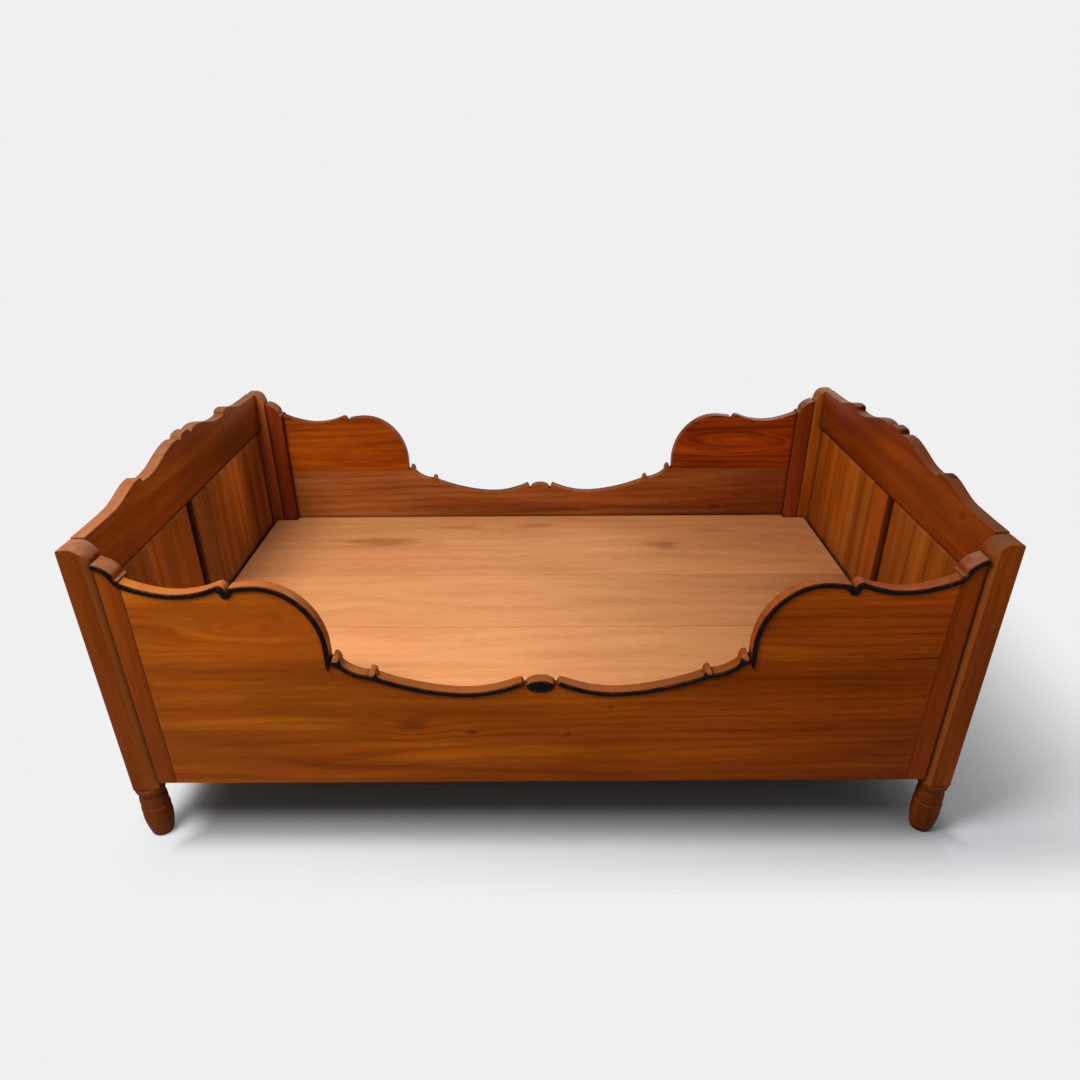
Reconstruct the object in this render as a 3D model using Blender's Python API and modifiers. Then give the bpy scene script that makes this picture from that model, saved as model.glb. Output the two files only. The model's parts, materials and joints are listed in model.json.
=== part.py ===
"""Period wooden bed with serpentine sides, panelled ends and turned feet.

Units are metres, +Z is up, X runs along the bed and -Y is its front side. The origin is on the floor,
under the middle of the bed. Each piece is its own object, joined to its neighbours as a joiner would.
"""

import math

import bmesh
import bpy
from mathutils import Matrix, Vector

# Overall sizes
LENGTH = 2.020
WIDTH = 1.260
POST_TOP = 0.820
FIT = 0.0003

# Corner posts
POST_X = 0.061
POST_Y = 0.058
POST_CHAMFER = 0.011
POST_FLAT = 0.027
POST_ROLL_DROP = 0.033
POST_CORNER_W = 0.010
POST_CORNER_H = 0.006

# Turned feet
FOOT_HEIGHT = 0.157
FOOT_COLLAR_R = 0.0360
FOOT_NECK_R = 0.0298
FOOT_RING_R = 0.0335
FOOT_BEAD_R = 0.0350
FOOT_VASE_R = 0.0355
FOOT_SOLE_R = 0.0240
FOOT_COLLAR_H = 0.017
FOOT_NECK_H = 0.015
FOOT_RING_H = 0.030
FOOT_BEAD_H = 0.020
FOOT_TENON_R = 0.014
FOOT_TENON_L = 0.045
FOOT_OUTSET = 0.003
TURNING_STEPS = 16

# Long sides
SIDE_RECESS = 0.005
SIDE_THICK = 0.028
SIDE_LIFT = 0.020
SIDE_GAP = 0.002
STILE_WIDTH = 0.048
STILE_THICK = 0.045
STILE_ROUND = 0.005
GLUE_LINE_Z = 0.537
TONGUE_THICK = 0.009
TONGUE_LENGTH = 0.012

# Serpentine outline: heights are measured down from the post top, except the low run, which is
# measured up from the floor; lengths are measured from the stile or from the middle of the bed
HUMP_DROP = 0.036
HUMP_FALL = 0.027
STEP_FALL = 0.012
STEP_WIDTH = 0.012
UPPER_DIP_DROP = 0.1090
NOSE_DROP = 0.0885
NOSE_WIDTH = 0.016
NOTCH_DEPTH = 0.016
SHOULDER_DROP = 0.0895
UPPER_DIP_LENGTH = 0.201
SHOULDER_LENGTH = 0.425
ARC_WIDTH = 0.143
ARC_HEIGHT = 0.164
LOW_POINT_Z = 0.4470
LOW_POINT_X = 0.170
CENTRE_NOSE_Z = 0.477
CENTRE_NOSE_X = 0.045
KNOB_WIDTH = 0.017
KNOB_1_RISE = 0.019
KNOB_2_RISE = 0.0145
KNOB_1_DROP = 0.011
KNOB_2_DROP = 0.045
KNOB_SPACING = 0.078
KNOB_INSET = 0.015
OVAL_HALF_WIDTH = 0.033
OVAL_HALF_HEIGHT = 0.016
OVAL_DROP = 0.014

# Ebonised bead on the outer face
BEAD_HEIGHT = 0.0115
BEAD_DEPTH = 0.0047
BEAD_BLOB = 0.015
BEAD_BLOB_R = 0.011
BEAD_TAIL = 0.026

# Panelled ends
END_RECESS = 0.005
RAIL_THICK = 0.031
CREST_BOTTOM_DROP = 0.126
BOTTOM_RAIL_TOP = 0.335
MUNTIN_WIDTH = 0.110
PANEL_THICK = 0.014
PANEL_BEVEL = 0.018
PANEL_TONGUE = 0.008
PANEL_SETBACK = 0.006
GROOVE_DEPTH = 0.012
GROOVE_SPARE = 0.002
RAIL_TENON_LENGTH = 0.035
RAIL_TENON_THICK = 0.011
RAIL_TENON_SHOULDER = 0.025
MUNTIN_TENON_SHOULDER = 0.015

# Wavy crest: rises above the post top, and distances from the middle of the end
CREST_FLAT_RISE = 0.003
CREST_TOE_D = 0.430
CREST_LIP_RISE = 0.0315
CREST_LIP_D = 0.308
CREST_STEP = 0.0115
CREST_STEP_D = 0.283
CREST_HOLLOW_RISE = 0.0165
CREST_FLANK_RISE = 0.0255
CREST_FLANK_D = 0.190
CREST_SWELL_RISE = 0.0505
CREST_SWELL_D = 0.075
CREST_NOTCH_RISE = 0.044
CREST_NOTCH_D = 0.034
CREST_KNOB_RISE = 0.056

# Base that carries the mattress
BASE_TOP = 0.354
BASE_THICK = 0.018
BASE_CLEAR = 0.003
FRONT_BOARD_WIDTH = 0.407
MIDDLE_BOARD_WIDTH = 0.313
SEAM_GAP = 0.0015
SLAT_THICK = 0.022
SLAT_WIDTH = 0.070
SLAT_COUNT = 6
SLAT_END_GAP = 0.089
LEDGER_HEIGHT = 0.035
LEDGER_DEPTH = 0.030
LEDGER_END_GAP = 0.009

# Bed irons
IRON_THICK = 0.003
IRON_WIDTH = 0.024
IRON_HEIGHT = 0.110
IRON_Z = 0.475
HOOK_SPACING = 0.050
HOOK_THICK = 0.006
HOOK_SHANK_H = 0.014
HOOK_NOSE_DROP = 0.010
HOOK_NOSE_LENGTH = 0.008
SLOT_HEIGHT = 0.030
POCKET_SPARE = 0.003

# Edge rounding
SOFT_EDGE = 0.0012
BOARD_EDGE = 0.0020

# Values that follow from the sizes above
HALF_L = LENGTH / 2
HALF_W = WIDTH / 2
POST_IN_X = HALF_L - POST_X
POST_IN_Y = HALF_W - POST_Y
FOOT_X = HALF_L - POST_X / 2 + FOOT_OUTSET
STILE_OUT = POST_IN_X - SIDE_GAP
STILE_IN = STILE_OUT - STILE_WIDTH
ARC_X = STILE_IN - SHOULDER_LENGTH
SIDE_OUT_Y = HALF_W - SIDE_RECESS
SIDE_IN_Y = SIDE_OUT_Y - SIDE_THICK
STILE_IN_Y = SIDE_OUT_Y - STILE_THICK
SIDE_BOTTOM = FOOT_HEIGHT + SIDE_LIFT
RAIL_OUT_X = HALF_L - END_RECESS
RAIL_IN_X = RAIL_OUT_X - RAIL_THICK
RAIL_MID_X = (RAIL_OUT_X + RAIL_IN_X) / 2
CREST_BOTTOM = POST_TOP - CREST_BOTTOM_DROP
TONGUE_OUT_X = RAIL_OUT_X - PANEL_SETBACK
TONGUE_MID_X = TONGUE_OUT_X - PANEL_TONGUE / 2
PANEL_REACH = GROOVE_DEPTH - GROOVE_SPARE
BASE_BOTTOM = BASE_TOP - BASE_THICK
SLAT_TOP = BASE_BOTTOM - FIT
LEDGER_TOP = SLAT_TOP - SLAT_THICK - FIT
OUTER_SLAT_X = RAIL_IN_X - SLAT_END_GAP - SLAT_WIDTH / 2
IRON_LOW = IRON_Z - IRON_HEIGHT / 2
IRON_HIGH = IRON_Z + IRON_HEIGHT / 2

SIDES = {"front": -1, "back": 1}
ENDS = {"left": -1, "right": 1}


def linear_channel(value):
    """One sRGB channel, 0 to 1, as linear light."""
    if value <= 0.04045:
        return value / 12.92
    return ((value + 0.055) / 1.055) ** 2.4


def linear_colour(hex_colour):
    """A colour such as "8A4A18" as linear red, green, blue and alpha."""
    channels = [int(hex_colour[i:i + 2], 16) / 255 for i in (0, 2, 4)]
    return [linear_channel(channel) for channel in channels] + [1.0]


def make_material(name, hex_colour, roughness, metallic=0.0):
    """A plain Principled material."""
    material = bpy.data.materials.new(name)
    material.use_nodes = True
    shader = material.node_tree.nodes["Principled BSDF"]
    shader.inputs["Base Color"].default_value = linear_colour(hex_colour)
    shader.inputs["Roughness"].default_value = roughness
    shader.inputs["Metallic"].default_value = metallic
    return material


def clear_scene():
    """Removes every object of the start-up scene."""
    for obj in list(bpy.data.objects):
        bpy.data.objects.remove(obj)


def make_collection(name):
    """A collection linked to the scene."""
    collection = bpy.data.collections.new(name)
    bpy.context.scene.collection.children.link(collection)
    return collection


clear_scene()
BED = make_collection("wooden_bed")
CUTTERS = make_collection("cutters")
CHERRY = make_material("cherry", "7A3F12", 0.42)
CHERRY_DARK = make_material("cherry_dark", "6B2E0E", 0.45)
EBONISED = make_material("ebonised_wood", "160C05", 0.30)
PLYWOOD = make_material("plywood", "D9A06A", 0.60)
PINE = make_material("pine", "C59A63", 0.65)
IRON = make_material("wrought_iron", "3B3835", 0.55, 1.0)


def add_object(name, mesh, location=(0, 0, 0), rotation=(0, 0, 0), material=None):
    """An object in the bed's collection."""
    obj = bpy.data.objects.new(name, mesh)
    obj.location = location
    obj.rotation_euler = rotation
    if material:
        mesh.materials.append(material)
    BED.objects.link(obj)
    return obj


def soften(obj, width=SOFT_EDGE, segments=1):
    """Rounds the sharp edges of a piece."""
    bevel = obj.modifiers.new("soft_edges", "BEVEL")
    bevel.width = width
    bevel.segments = segments
    bevel.limit_method = "ANGLE"
    bevel.angle_limit = math.radians(50)


def box_mesh(name, size):
    """A box mesh about its own middle."""
    bm = bmesh.new()
    bmesh.ops.create_cube(bm, size=1.0)
    bmesh.ops.scale(bm, vec=size, verts=bm.verts)
    mesh = bpy.data.meshes.new(name)
    bm.to_mesh(mesh)
    bm.free()
    return mesh


def add_box(name, low, high, material):
    """A box-shaped piece between two corners, with its origin in its middle."""
    low, high = Vector(low), Vector(high)
    return add_object(name, box_mesh(name, high - low), (low + high) / 2, material=material)


def use_as_tool(obj, tool, operation):
    """Adds a Boolean of the given kind, and hides the tool."""
    for collection in list(tool.users_collection):
        collection.objects.unlink(tool)
    CUTTERS.objects.link(tool)
    tool.hide_render = True
    tool.display_type = "WIRE"
    boolean = obj.modifiers.new(tool.name, "BOOLEAN")
    boolean.operation = operation
    boolean.object = tool
    boolean.solver = "EXACT"


def cut_box(obj, label, corner_a, corner_b):
    """Cuts a box out of a piece; the two corners come in any order."""
    low = [min(a, b) for a, b in zip(corner_a, corner_b)]
    high = [max(a, b) for a, b in zip(corner_a, corner_b)]
    use_as_tool(obj, add_box(obj.name + "_" + label, low, high, None), "DIFFERENCE")


def join_box(obj, label, corner_a, corner_b):
    """Adds a box, such as a tenon, to a piece; the two corners come in any order."""
    low = [min(a, b) for a, b in zip(corner_a, corner_b)]
    high = [max(a, b) for a, b in zip(corner_a, corner_b)]
    use_as_tool(obj, add_box(obj.name + "_" + label, low, high, None), "UNION")


FACING_Y = (math.pi / 2, 0, 0)
FACING_X = (math.pi / 2, 0, math.pi / 2)


def outline_mesh(name, points, thickness):
    """A closed mesh of a flat outline, as thick as given."""
    curve = bpy.data.curves.new(name, "CURVE")
    curve.dimensions = "2D"
    curve.fill_mode = "BOTH"
    curve.extrude = thickness / 2
    spline = curve.splines.new("POLY")
    spline.points.add(len(points) - 1)
    for spline_point, (across, up) in zip(spline.points, points):
        spline_point.co = (across, up, 0, 1)
    spline.use_cyclic_u = True
    drawing = bpy.data.objects.new(name + "_drawing", curve)
    CUTTERS.objects.link(drawing)
    bpy.context.view_layer.update()
    evaluated = drawing.evaluated_get(bpy.context.evaluated_depsgraph_get())
    mesh = bpy.data.meshes.new_from_object(evaluated)
    bpy.data.objects.remove(drawing)
    bm = bmesh.new()
    bm.from_mesh(mesh)
    bmesh.ops.remove_doubles(bm, verts=bm.verts, dist=0.00001)
    bmesh.ops.dissolve_limit(bm, angle_limit=math.radians(0.2), verts=bm.verts, edges=bm.edges)
    bmesh.ops.recalc_face_normals(bm, faces=bm.faces)
    bm.to_mesh(mesh)
    bm.free()
    mesh.materials.clear()
    mesh.name = name
    return mesh


def bezier(start, handle_a, handle_b, end, count):
    """Points along a cubic curve, its start and end among them."""
    points = []
    for i in range(count + 1):
        t = i / count
        weights = ((1 - t) ** 3, 3 * t * (1 - t) ** 2, 3 * t * t * (1 - t), t ** 3)
        corners = (start, handle_a, handle_b, end)
        points.append(tuple(sum(w * c[k] for w, c in zip(weights, corners)) for k in (0, 1)))
    return points


def ellipse_arc(centre, half_width, half_height, from_deg, to_deg, count):
    """Points along an ellipse, its ends among them."""
    points = []
    for i in range(count + 1):
        angle = math.radians(from_deg + (to_deg - from_deg) * i / count)
        points.append((centre[0] + half_width * math.cos(angle), centre[1] + half_height * math.sin(angle)))
    return points


def mix(a, b, t):
    """The value a share t of the way from a to b."""
    return a + (b - a) * t


def knob_stations(x, z_low, z_high, rise):
    """Stations over one round-topped knob, outwards: edge point and base point of each."""
    stations = []
    for i in range(9):
        u = math.sin(math.pi / 2 * (i / 4 - 1))
        base = (x + u * KNOB_WIDTH / 2, mix(z_low, z_high, (u + 1) / 2))
        stations.append(((base[0], base[1] + rise * math.sqrt(max(0.0, 1 - u ** 4))), base))
    return stations


def plain_stations(points):
    """Stations where the edge and the base line are the same."""
    return [(point, point) for point in points]


def low_run():
    """Stations of the low run of the serpentine, from the centre nose out to the first knob."""
    knob_1 = ARC_X - KNOB_INSET
    knob_2 = knob_1 - KNOB_SPACING
    knob_1_base = GLUE_LINE_Z - KNOB_1_DROP
    knob_2_base = GLUE_LINE_Z - KNOB_2_DROP
    nose = (CENTRE_NOSE_X, CENTRE_NOSE_Z)
    low = (LOW_POINT_X, LOW_POINT_Z)
    rise_end = (knob_2 - KNOB_WIDTH / 2, knob_2_base)
    span = rise_end[0] - low[0]
    short_start = (knob_2 + KNOB_WIDTH / 2, mix(knob_2_base, knob_1_base, 0.15))
    short_end = (knob_1 - KNOB_WIDTH / 2, knob_1_base)
    short = short_end[0] - short_start[0]
    fall = bezier(nose, (mix(nose[0], low[0], 0.30), mix(nose[1], low[1], 0.56)),
                  (mix(nose[0], low[0], 0.62), low[1]), low, 9)
    rise = bezier(low, (low[0] + 0.34 * span, low[1]),
                  (low[0] + 0.74 * span, mix(low[1], rise_end[1], 0.5)), rise_end, 12)
    hollow = bezier(short_start, (short_start[0] + 0.35 * short, mix(short_start[1], short_end[1], 0.05)),
                    (short_start[0] + 0.75 * short, mix(short_start[1], short_end[1], 0.42)), short_end, 6)
    stations = plain_stations(fall + rise[1:-1])
    stations += knob_stations(knob_2, rise_end[1], short_start[1], KNOB_2_RISE)
    stations += plain_stations(hollow[1:-1])
    stations += knob_stations(knob_1, short_end[1], mix(short_end[1], GLUE_LINE_Z, 0.8), KNOB_1_RISE)
    return stations


def high_run():
    """Stations of the high run, from the gap at the post in over hump, dip and nose, down the arc."""
    hump_top = POST_TOP - HUMP_DROP
    hump_foot = hump_top - HUMP_FALL
    step_z = hump_foot - STEP_FALL
    dip_z = POST_TOP - UPPER_DIP_DROP
    nose_z = POST_TOP - NOSE_DROP
    arc_top_z = POST_TOP - SHOULDER_DROP
    step_x = STILE_IN + STEP_WIDTH * 0.75
    hump = bezier((STILE_OUT, hump_top), (mix(STILE_OUT, step_x, 0.38), hump_top - 0.10 * HUMP_FALL),
                  (mix(STILE_OUT, step_x, 0.80), mix(hump_top, hump_foot, 0.45)), (step_x, hump_foot), 7)
    ledge_out = (step_x - 0.0008, step_z + 0.0010)
    ledge_in = (STILE_IN, step_z)
    dip_out = (STILE_IN - STEP_WIDTH * 0.4, step_z - STEP_FALL * 0.65)
    nose_tip_x = STILE_IN - UPPER_DIP_LENGTH
    dip_in = (nose_tip_x, nose_z - 0.0025)
    low = (mix(dip_out[0], dip_in[0], 0.555), dip_z)
    dip_a = bezier(dip_out, (mix(dip_out[0], low[0], 0.25), mix(dip_out[1], low[1], 0.47)),
                   (mix(dip_out[0], low[0], 0.63), low[1]), low, 7)
    dip_b = bezier(low, (mix(low[0], dip_in[0], 0.34), low[1]),
                   (mix(low[0], dip_in[0], 0.72), mix(low[1], dip_in[1], 0.38)), dip_in, 6)
    notch_x = nose_tip_x - NOSE_WIDTH * 1.6
    arc_centre = (ARC_X + ARC_WIDTH, arc_top_z - ARC_HEIGHT)
    arc_start = (notch_x - 0.004, arc_top_z - 0.0055)
    crown = bezier(arc_start, (mix(arc_start[0], arc_centre[0], 0.33), mix(arc_start[1], arc_top_z, 0.62)),
                   (mix(arc_start[0], arc_centre[0], 0.66), arc_top_z), (arc_centre[0], arc_top_z), 5)
    arc = ellipse_arc(arc_centre, ARC_WIDTH, ARC_HEIGHT, 90, 180, 16)
    arc = [(2 * arc_centre[0] - x, z) if x > arc_centre[0] else (x, z) for x, z in arc]
    stations = plain_stations(hump)
    stations.append((ledge_out, (mix(step_x, dip_out[0], 0.22), mix(hump_foot, dip_out[1], 0.42))))
    stations.append((ledge_in, (mix(step_x, dip_out[0], 0.68), mix(hump_foot, dip_out[1], 0.80))))
    stations += plain_stations(dip_a + dip_b[1:])
    nose_points = ((0.35, 0.0), (0.75, 0.0), (1.0, 0.12), (1.2, 0.35), (1.4, 0.70), (1.6, 1.0))
    for share, fall in nose_points:
        x = nose_tip_x - NOSE_WIDTH * share
        smooth = mix(dip_in[1], arc_start[1], share / 1.85)
        stations.append(((x, nose_z - fall * NOTCH_DEPTH), (x, smooth)))
    stations += plain_stations(crown + arc[1:])
    return stations


def low_edge():
    """Edge points of the low run, outwards, with the oval's rise at the middle of the side."""
    oval_z = CENTRE_NOSE_Z - OVAL_DROP
    gap = CENTRE_NOSE_X - OVAL_HALF_WIDTH
    half_oval = ellipse_arc((0, oval_z), OVAL_HALF_WIDTH, OVAL_HALF_HEIGHT, 90, 2, 8)
    notch = [(OVAL_HALF_WIDTH + 0.40 * gap, oval_z - 0.002),
             (OVAL_HALF_WIDTH + 0.62 * gap, oval_z + 0.55 * OVAL_DROP)]
    nose_face = [(CENTRE_NOSE_X - 0.12 * gap, CENTRE_NOSE_Z - 0.0012)]
    run = [edge for edge, base in low_run()]
    return half_oval + notch + nose_face + run[1:] + [(ARC_X - FIT, GLUE_LINE_Z)]


def mirrored(points):
    """The same points on the other side of the middle, in reverse order."""
    return [(-x, z) for x, z in reversed(points)]


def along(sign, points):
    """Outline points for the right end (sign 1), or mirrored for the left end (sign -1)."""
    if sign > 0:
        return points
    return mirrored(points)


def side_plank(side, out):
    """The long lower plank of a side, with a tongue at each end for the stiles."""
    edge = low_edge()
    half = edge + [(STILE_IN - FIT, GLUE_LINE_Z), (STILE_IN - FIT, SIDE_BOTTOM)]
    outline = mirrored(half) + half[1:]
    middle_y = out * (SIDE_OUT_Y - SIDE_THICK / 2)
    plank = add_object(side + "_side_plank", outline_mesh(side + "_side_plank", outline, SIDE_THICK),
                       (0, middle_y, 0), FACING_Y, CHERRY)
    tongue = TONGUE_THICK / 2
    for end, way in ENDS.items():
        join_box(plank, end + "_tongue",
                 (way * (STILE_IN - TONGUE_LENGTH), middle_y - tongue, SIDE_BOTTOM + TONGUE_LENGTH),
                 (way * (STILE_IN + TONGUE_LENGTH), middle_y + tongue, GLUE_LINE_Z - FIT))
    return plank


def shoulder(side, out, end, way):
    """A shoulder board, glued on the plank, between the arc and the stile."""
    edge = [point for point, base in high_run() if point[0] < STILE_IN - FIT]
    bottom = GLUE_LINE_Z + FIT
    top_out = (STILE_IN - FIT, edge[0][1] + 0.004)
    outline = [top_out] + edge + [(ARC_X, bottom), (STILE_IN - FIT, bottom)]
    name = side + "_" + end + "_shoulder"
    middle_y = out * (SIDE_OUT_Y - SIDE_THICK / 2)
    board = add_object(name, outline_mesh(name, along(way, outline), SIDE_THICK),
                       (0, middle_y, 0), FACING_Y, CHERRY)
    tongue = TONGUE_THICK / 2
    join_box(board, "tongue",
             (way * (STILE_IN - TONGUE_LENGTH), middle_y - tongue, bottom),
             (way * (STILE_IN + TONGUE_LENGTH), middle_y + tongue, POST_TOP - UPPER_DIP_DROP - TONGUE_LENGTH))
    return board


def stile(side, out, end, way):
    """An end stile of a side: hump on top, groove for the tongues, recess for the hook iron."""
    edge = [point for point, base in high_run() if point[0] > STILE_IN - FIT]
    outline = edge + [(STILE_IN, SIDE_BOTTOM), (STILE_OUT, SIDE_BOTTOM)]
    name = side + "_" + end + "_stile"
    middle_y = out * (SIDE_OUT_Y - STILE_THICK / 2)
    mesh = outline_mesh(name, along(way, outline), STILE_THICK)
    round_upright_edge(mesh, way * STILE_OUT, -out * STILE_THICK / 2, STILE_ROUND, 3)
    post = add_object(name, mesh, (0, middle_y, 0), FACING_Y, CHERRY)
    groove = TONGUE_THICK / 2 + FIT
    groove_y = out * (SIDE_OUT_Y - SIDE_THICK / 2)
    cut_box(post, "groove",
            (way * (STILE_IN - TONGUE_LENGTH), groove_y - groove, SIDE_BOTTOM + TONGUE_LENGTH - FIT),
            (way * (STILE_IN + TONGUE_LENGTH + GROOVE_SPARE), groove_y + groove,
             POST_TOP - UPPER_DIP_DROP - TONGUE_LENGTH + FIT))
    cut_box(post, "iron_recess",
            (way * (STILE_OUT - IRON_THICK - FIT), middle_y - IRON_WIDTH / 2 - FIT, IRON_LOW - FIT),
            (way * (STILE_OUT + IRON_THICK), middle_y + IRON_WIDTH / 2 + FIT, IRON_HIGH + FIT))
    return post


def round_upright_edge(mesh, across, depth, radius, segments):
    """Rounds the upright edge of an outline mesh that lies at the given place on its face."""
    bm = bmesh.new()
    bm.from_mesh(mesh)
    near = 0.00002
    chosen = []
    for edge in bm.edges:
        a, b = edge.verts[0].co, edge.verts[1].co
        upright = abs(a.x - b.x) < near and abs(a.z - b.z) < near
        placed = abs(a.x - across) < near and abs(a.z - depth) < near
        if upright and placed:
            chosen.append(edge)
    bmesh.ops.bevel(bm, geom=chosen, offset=radius, segments=segments, profile=0.5, affect="EDGES")
    bm.to_mesh(mesh)
    bm.free()


def corner_post(side, out, end, way):
    """A corner post: rolled top, chamfered edge, mortises for rails, panel, foot and keeper."""
    name = side + "_" + end + "_post"
    roll_start = HALF_L - POST_FLAT
    roll = bezier((roll_start, POST_TOP),
                  (mix(roll_start, POST_IN_X, 0.45), POST_TOP - 0.02 * POST_ROLL_DROP),
                  (mix(roll_start, POST_IN_X, 0.82), POST_TOP - 0.50 * POST_ROLL_DROP),
                  (POST_IN_X, POST_TOP - POST_ROLL_DROP), 7)
    corner = ellipse_arc((HALF_L - POST_CORNER_W, POST_TOP - POST_CORNER_H), POST_CORNER_W, POST_CORNER_H,
                         0, 90, 4)
    outline = [(HALF_L, FOOT_HEIGHT)] + corner + roll + [(POST_IN_X, FOOT_HEIGHT)]
    mesh = outline_mesh(name, along(way, outline), POST_Y)
    round_upright_edge(mesh, way * POST_IN_X, -out * POST_Y / 2, POST_CHAMFER, 1)
    middle_y = out * (HALF_W - POST_Y / 2)
    post = add_object(name, mesh, (0, middle_y, 0), FACING_Y, CHERRY_DARK)
    soften(post)
    face_y = out * POST_IN_Y
    tenon = RAIL_TENON_THICK / 2 + FIT
    depth = out * (POST_IN_Y + RAIL_TENON_LENGTH + FIT)
    mortises = {"crest_mortise": crest_tenon_span(), "rail_mortise": rail_tenon_span()}
    for label, (low, high) in mortises.items():
        cut_box(post, label, (way * (RAIL_MID_X - tenon), face_y - out * GROOVE_DEPTH, low - FIT),
                (way * (RAIL_MID_X + tenon), depth, high + FIT))
    groove = PANEL_TONGUE / 2 + FIT
    cut_box(post, "panel_groove",
            (way * (TONGUE_MID_X - groove), face_y - out * GROOVE_DEPTH, BOTTOM_RAIL_TOP - GROOVE_DEPTH),
            (way * (TONGUE_MID_X + groove), face_y + out * GROOVE_DEPTH, CREST_BOTTOM + GROOVE_DEPTH))
    iron_y = out * (SIDE_OUT_Y - STILE_THICK / 2)
    cut_box(post, "keeper_recess",
            (way * (POST_IN_X - IRON_THICK), iron_y - IRON_WIDTH / 2 - FIT, IRON_LOW - FIT),
            (way * (POST_IN_X + IRON_THICK + FIT), iron_y + IRON_WIDTH / 2 + FIT, IRON_HIGH + FIT))
    pocket_x = POST_IN_X + IRON_THICK + HOOK_NOSE_LENGTH + POCKET_SPARE
    pocket = (HOOK_THICK + POCKET_SPARE) / 2
    for number, slot_z in enumerate(slot_floors()):
        cut_box(post, "hook_pocket_" + str(number + 1),
                (way * POST_IN_X, iron_y - pocket, slot_z - HOOK_NOSE_DROP - POCKET_SPARE),
                (way * pocket_x, iron_y + pocket, slot_z + SLOT_HEIGHT))
    hole = turned_mesh(name + "_foot_hole", [(0, FOOT_HEIGHT + FOOT_TENON_L + FIT),
                                             (FOOT_TENON_R + FIT, FOOT_HEIGHT + FOOT_TENON_L + FIT),
                                             (FOOT_TENON_R + FIT, FOOT_HEIGHT - FOOT_TENON_R),
                                             (0, FOOT_HEIGHT - FOOT_TENON_R)])
    use_as_tool(post, add_object(name + "_foot_hole", hole, (way * FOOT_X, middle_y, 0)), "DIFFERENCE")
    return post


def turned_mesh(name, profile):
    """A turned solid from its profile, listed from the top down."""
    mesh = bpy.data.meshes.new(name)
    bm = bmesh.new()
    verts = [bm.verts.new((radius, 0, z)) for radius, z in profile]
    for upper, lower in zip(verts, verts[1:]):
        bm.edges.new((upper, lower))
    bm.to_mesh(mesh)
    bm.free()
    lathe = bpy.data.objects.new(name + "_lathe", mesh)
    CUTTERS.objects.link(lathe)
    screw = lathe.modifiers.new("turning", "SCREW")
    screw.steps = TURNING_STEPS
    screw.render_steps = TURNING_STEPS
    screw.use_merge_vertices = True
    screw.merge_threshold = 0.00005
    bpy.context.view_layer.update()
    evaluated = lathe.evaluated_get(bpy.context.evaluated_depsgraph_get())
    turned = bpy.data.meshes.new_from_object(evaluated)
    turned.name = name
    bpy.data.objects.remove(lathe)
    return turned


def foot_profile():
    """The foot from tenon to sole: collar, neck, ring, bead and a vase that tapers to the floor."""
    top = FOOT_HEIGHT - FIT
    neck = top - FOOT_COLLAR_H
    ring = neck - FOOT_NECK_H
    bead = ring - FOOT_RING_H
    vase = bead - FOOT_BEAD_H
    ring_groove_r = mix(FOOT_RING_R, FOOT_NECK_R, 0.4)
    bead_groove_r = mix(FOOT_BEAD_R, FOOT_NECK_R, 0.3)
    profile = [(0, top + FOOT_TENON_L), (FOOT_TENON_R, top + FOOT_TENON_L), (FOOT_TENON_R, top)]
    profile += half_round(FOOT_COLLAR_R, mix(FOOT_COLLAR_R, FOOT_NECK_R, 0.6), top, neck)
    profile += [(FOOT_NECK_R, mix(neck, ring, 0.35)), (FOOT_NECK_R, mix(neck, ring, 0.70))]
    profile += half_round(FOOT_RING_R, ring_groove_r, ring, bead)
    profile += half_round(FOOT_BEAD_R, bead_groove_r, mix(bead, vase, 0.06), vase)
    profile += bezier((FOOT_VASE_R - 0.0008, mix(vase, 0, 0.07)), (FOOT_VASE_R + 0.0012, mix(vase, 0, 0.30)),
                      (mix(FOOT_VASE_R, FOOT_SOLE_R, 0.40), mix(vase, 0, 0.72)),
                      (FOOT_SOLE_R + 0.0030, 0.0045), 5)
    profile += [(FOOT_SOLE_R + 0.0012, 0.0012), (FOOT_SOLE_R, 0), (0, 0)]
    return profile


def half_round(swell_r, edge_r, top, bottom):
    """Profile points of one turned swelling, from its upper edge down to its lower edge."""
    rises = ((0.0, 0.0), (0.2, 0.72), (0.5, 1.0), (0.8, 0.72), (1.0, 0.0))
    return [(mix(edge_r, swell_r, rise), mix(top, bottom, share)) for share, rise in rises]


def foot(side, out, end, way):
    """A turned foot with its round tenon."""
    name = side + "_" + end + "_foot"
    place = (way * FOOT_X, out * (HALF_W - POST_Y / 2), 0)
    turned = add_object(name, turned_mesh(name, foot_profile()), place, material=CHERRY_DARK)
    turned.data.shade_smooth()
    turned.data.set_sharp_from_angle(angle=math.radians(35))
    return turned


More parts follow.
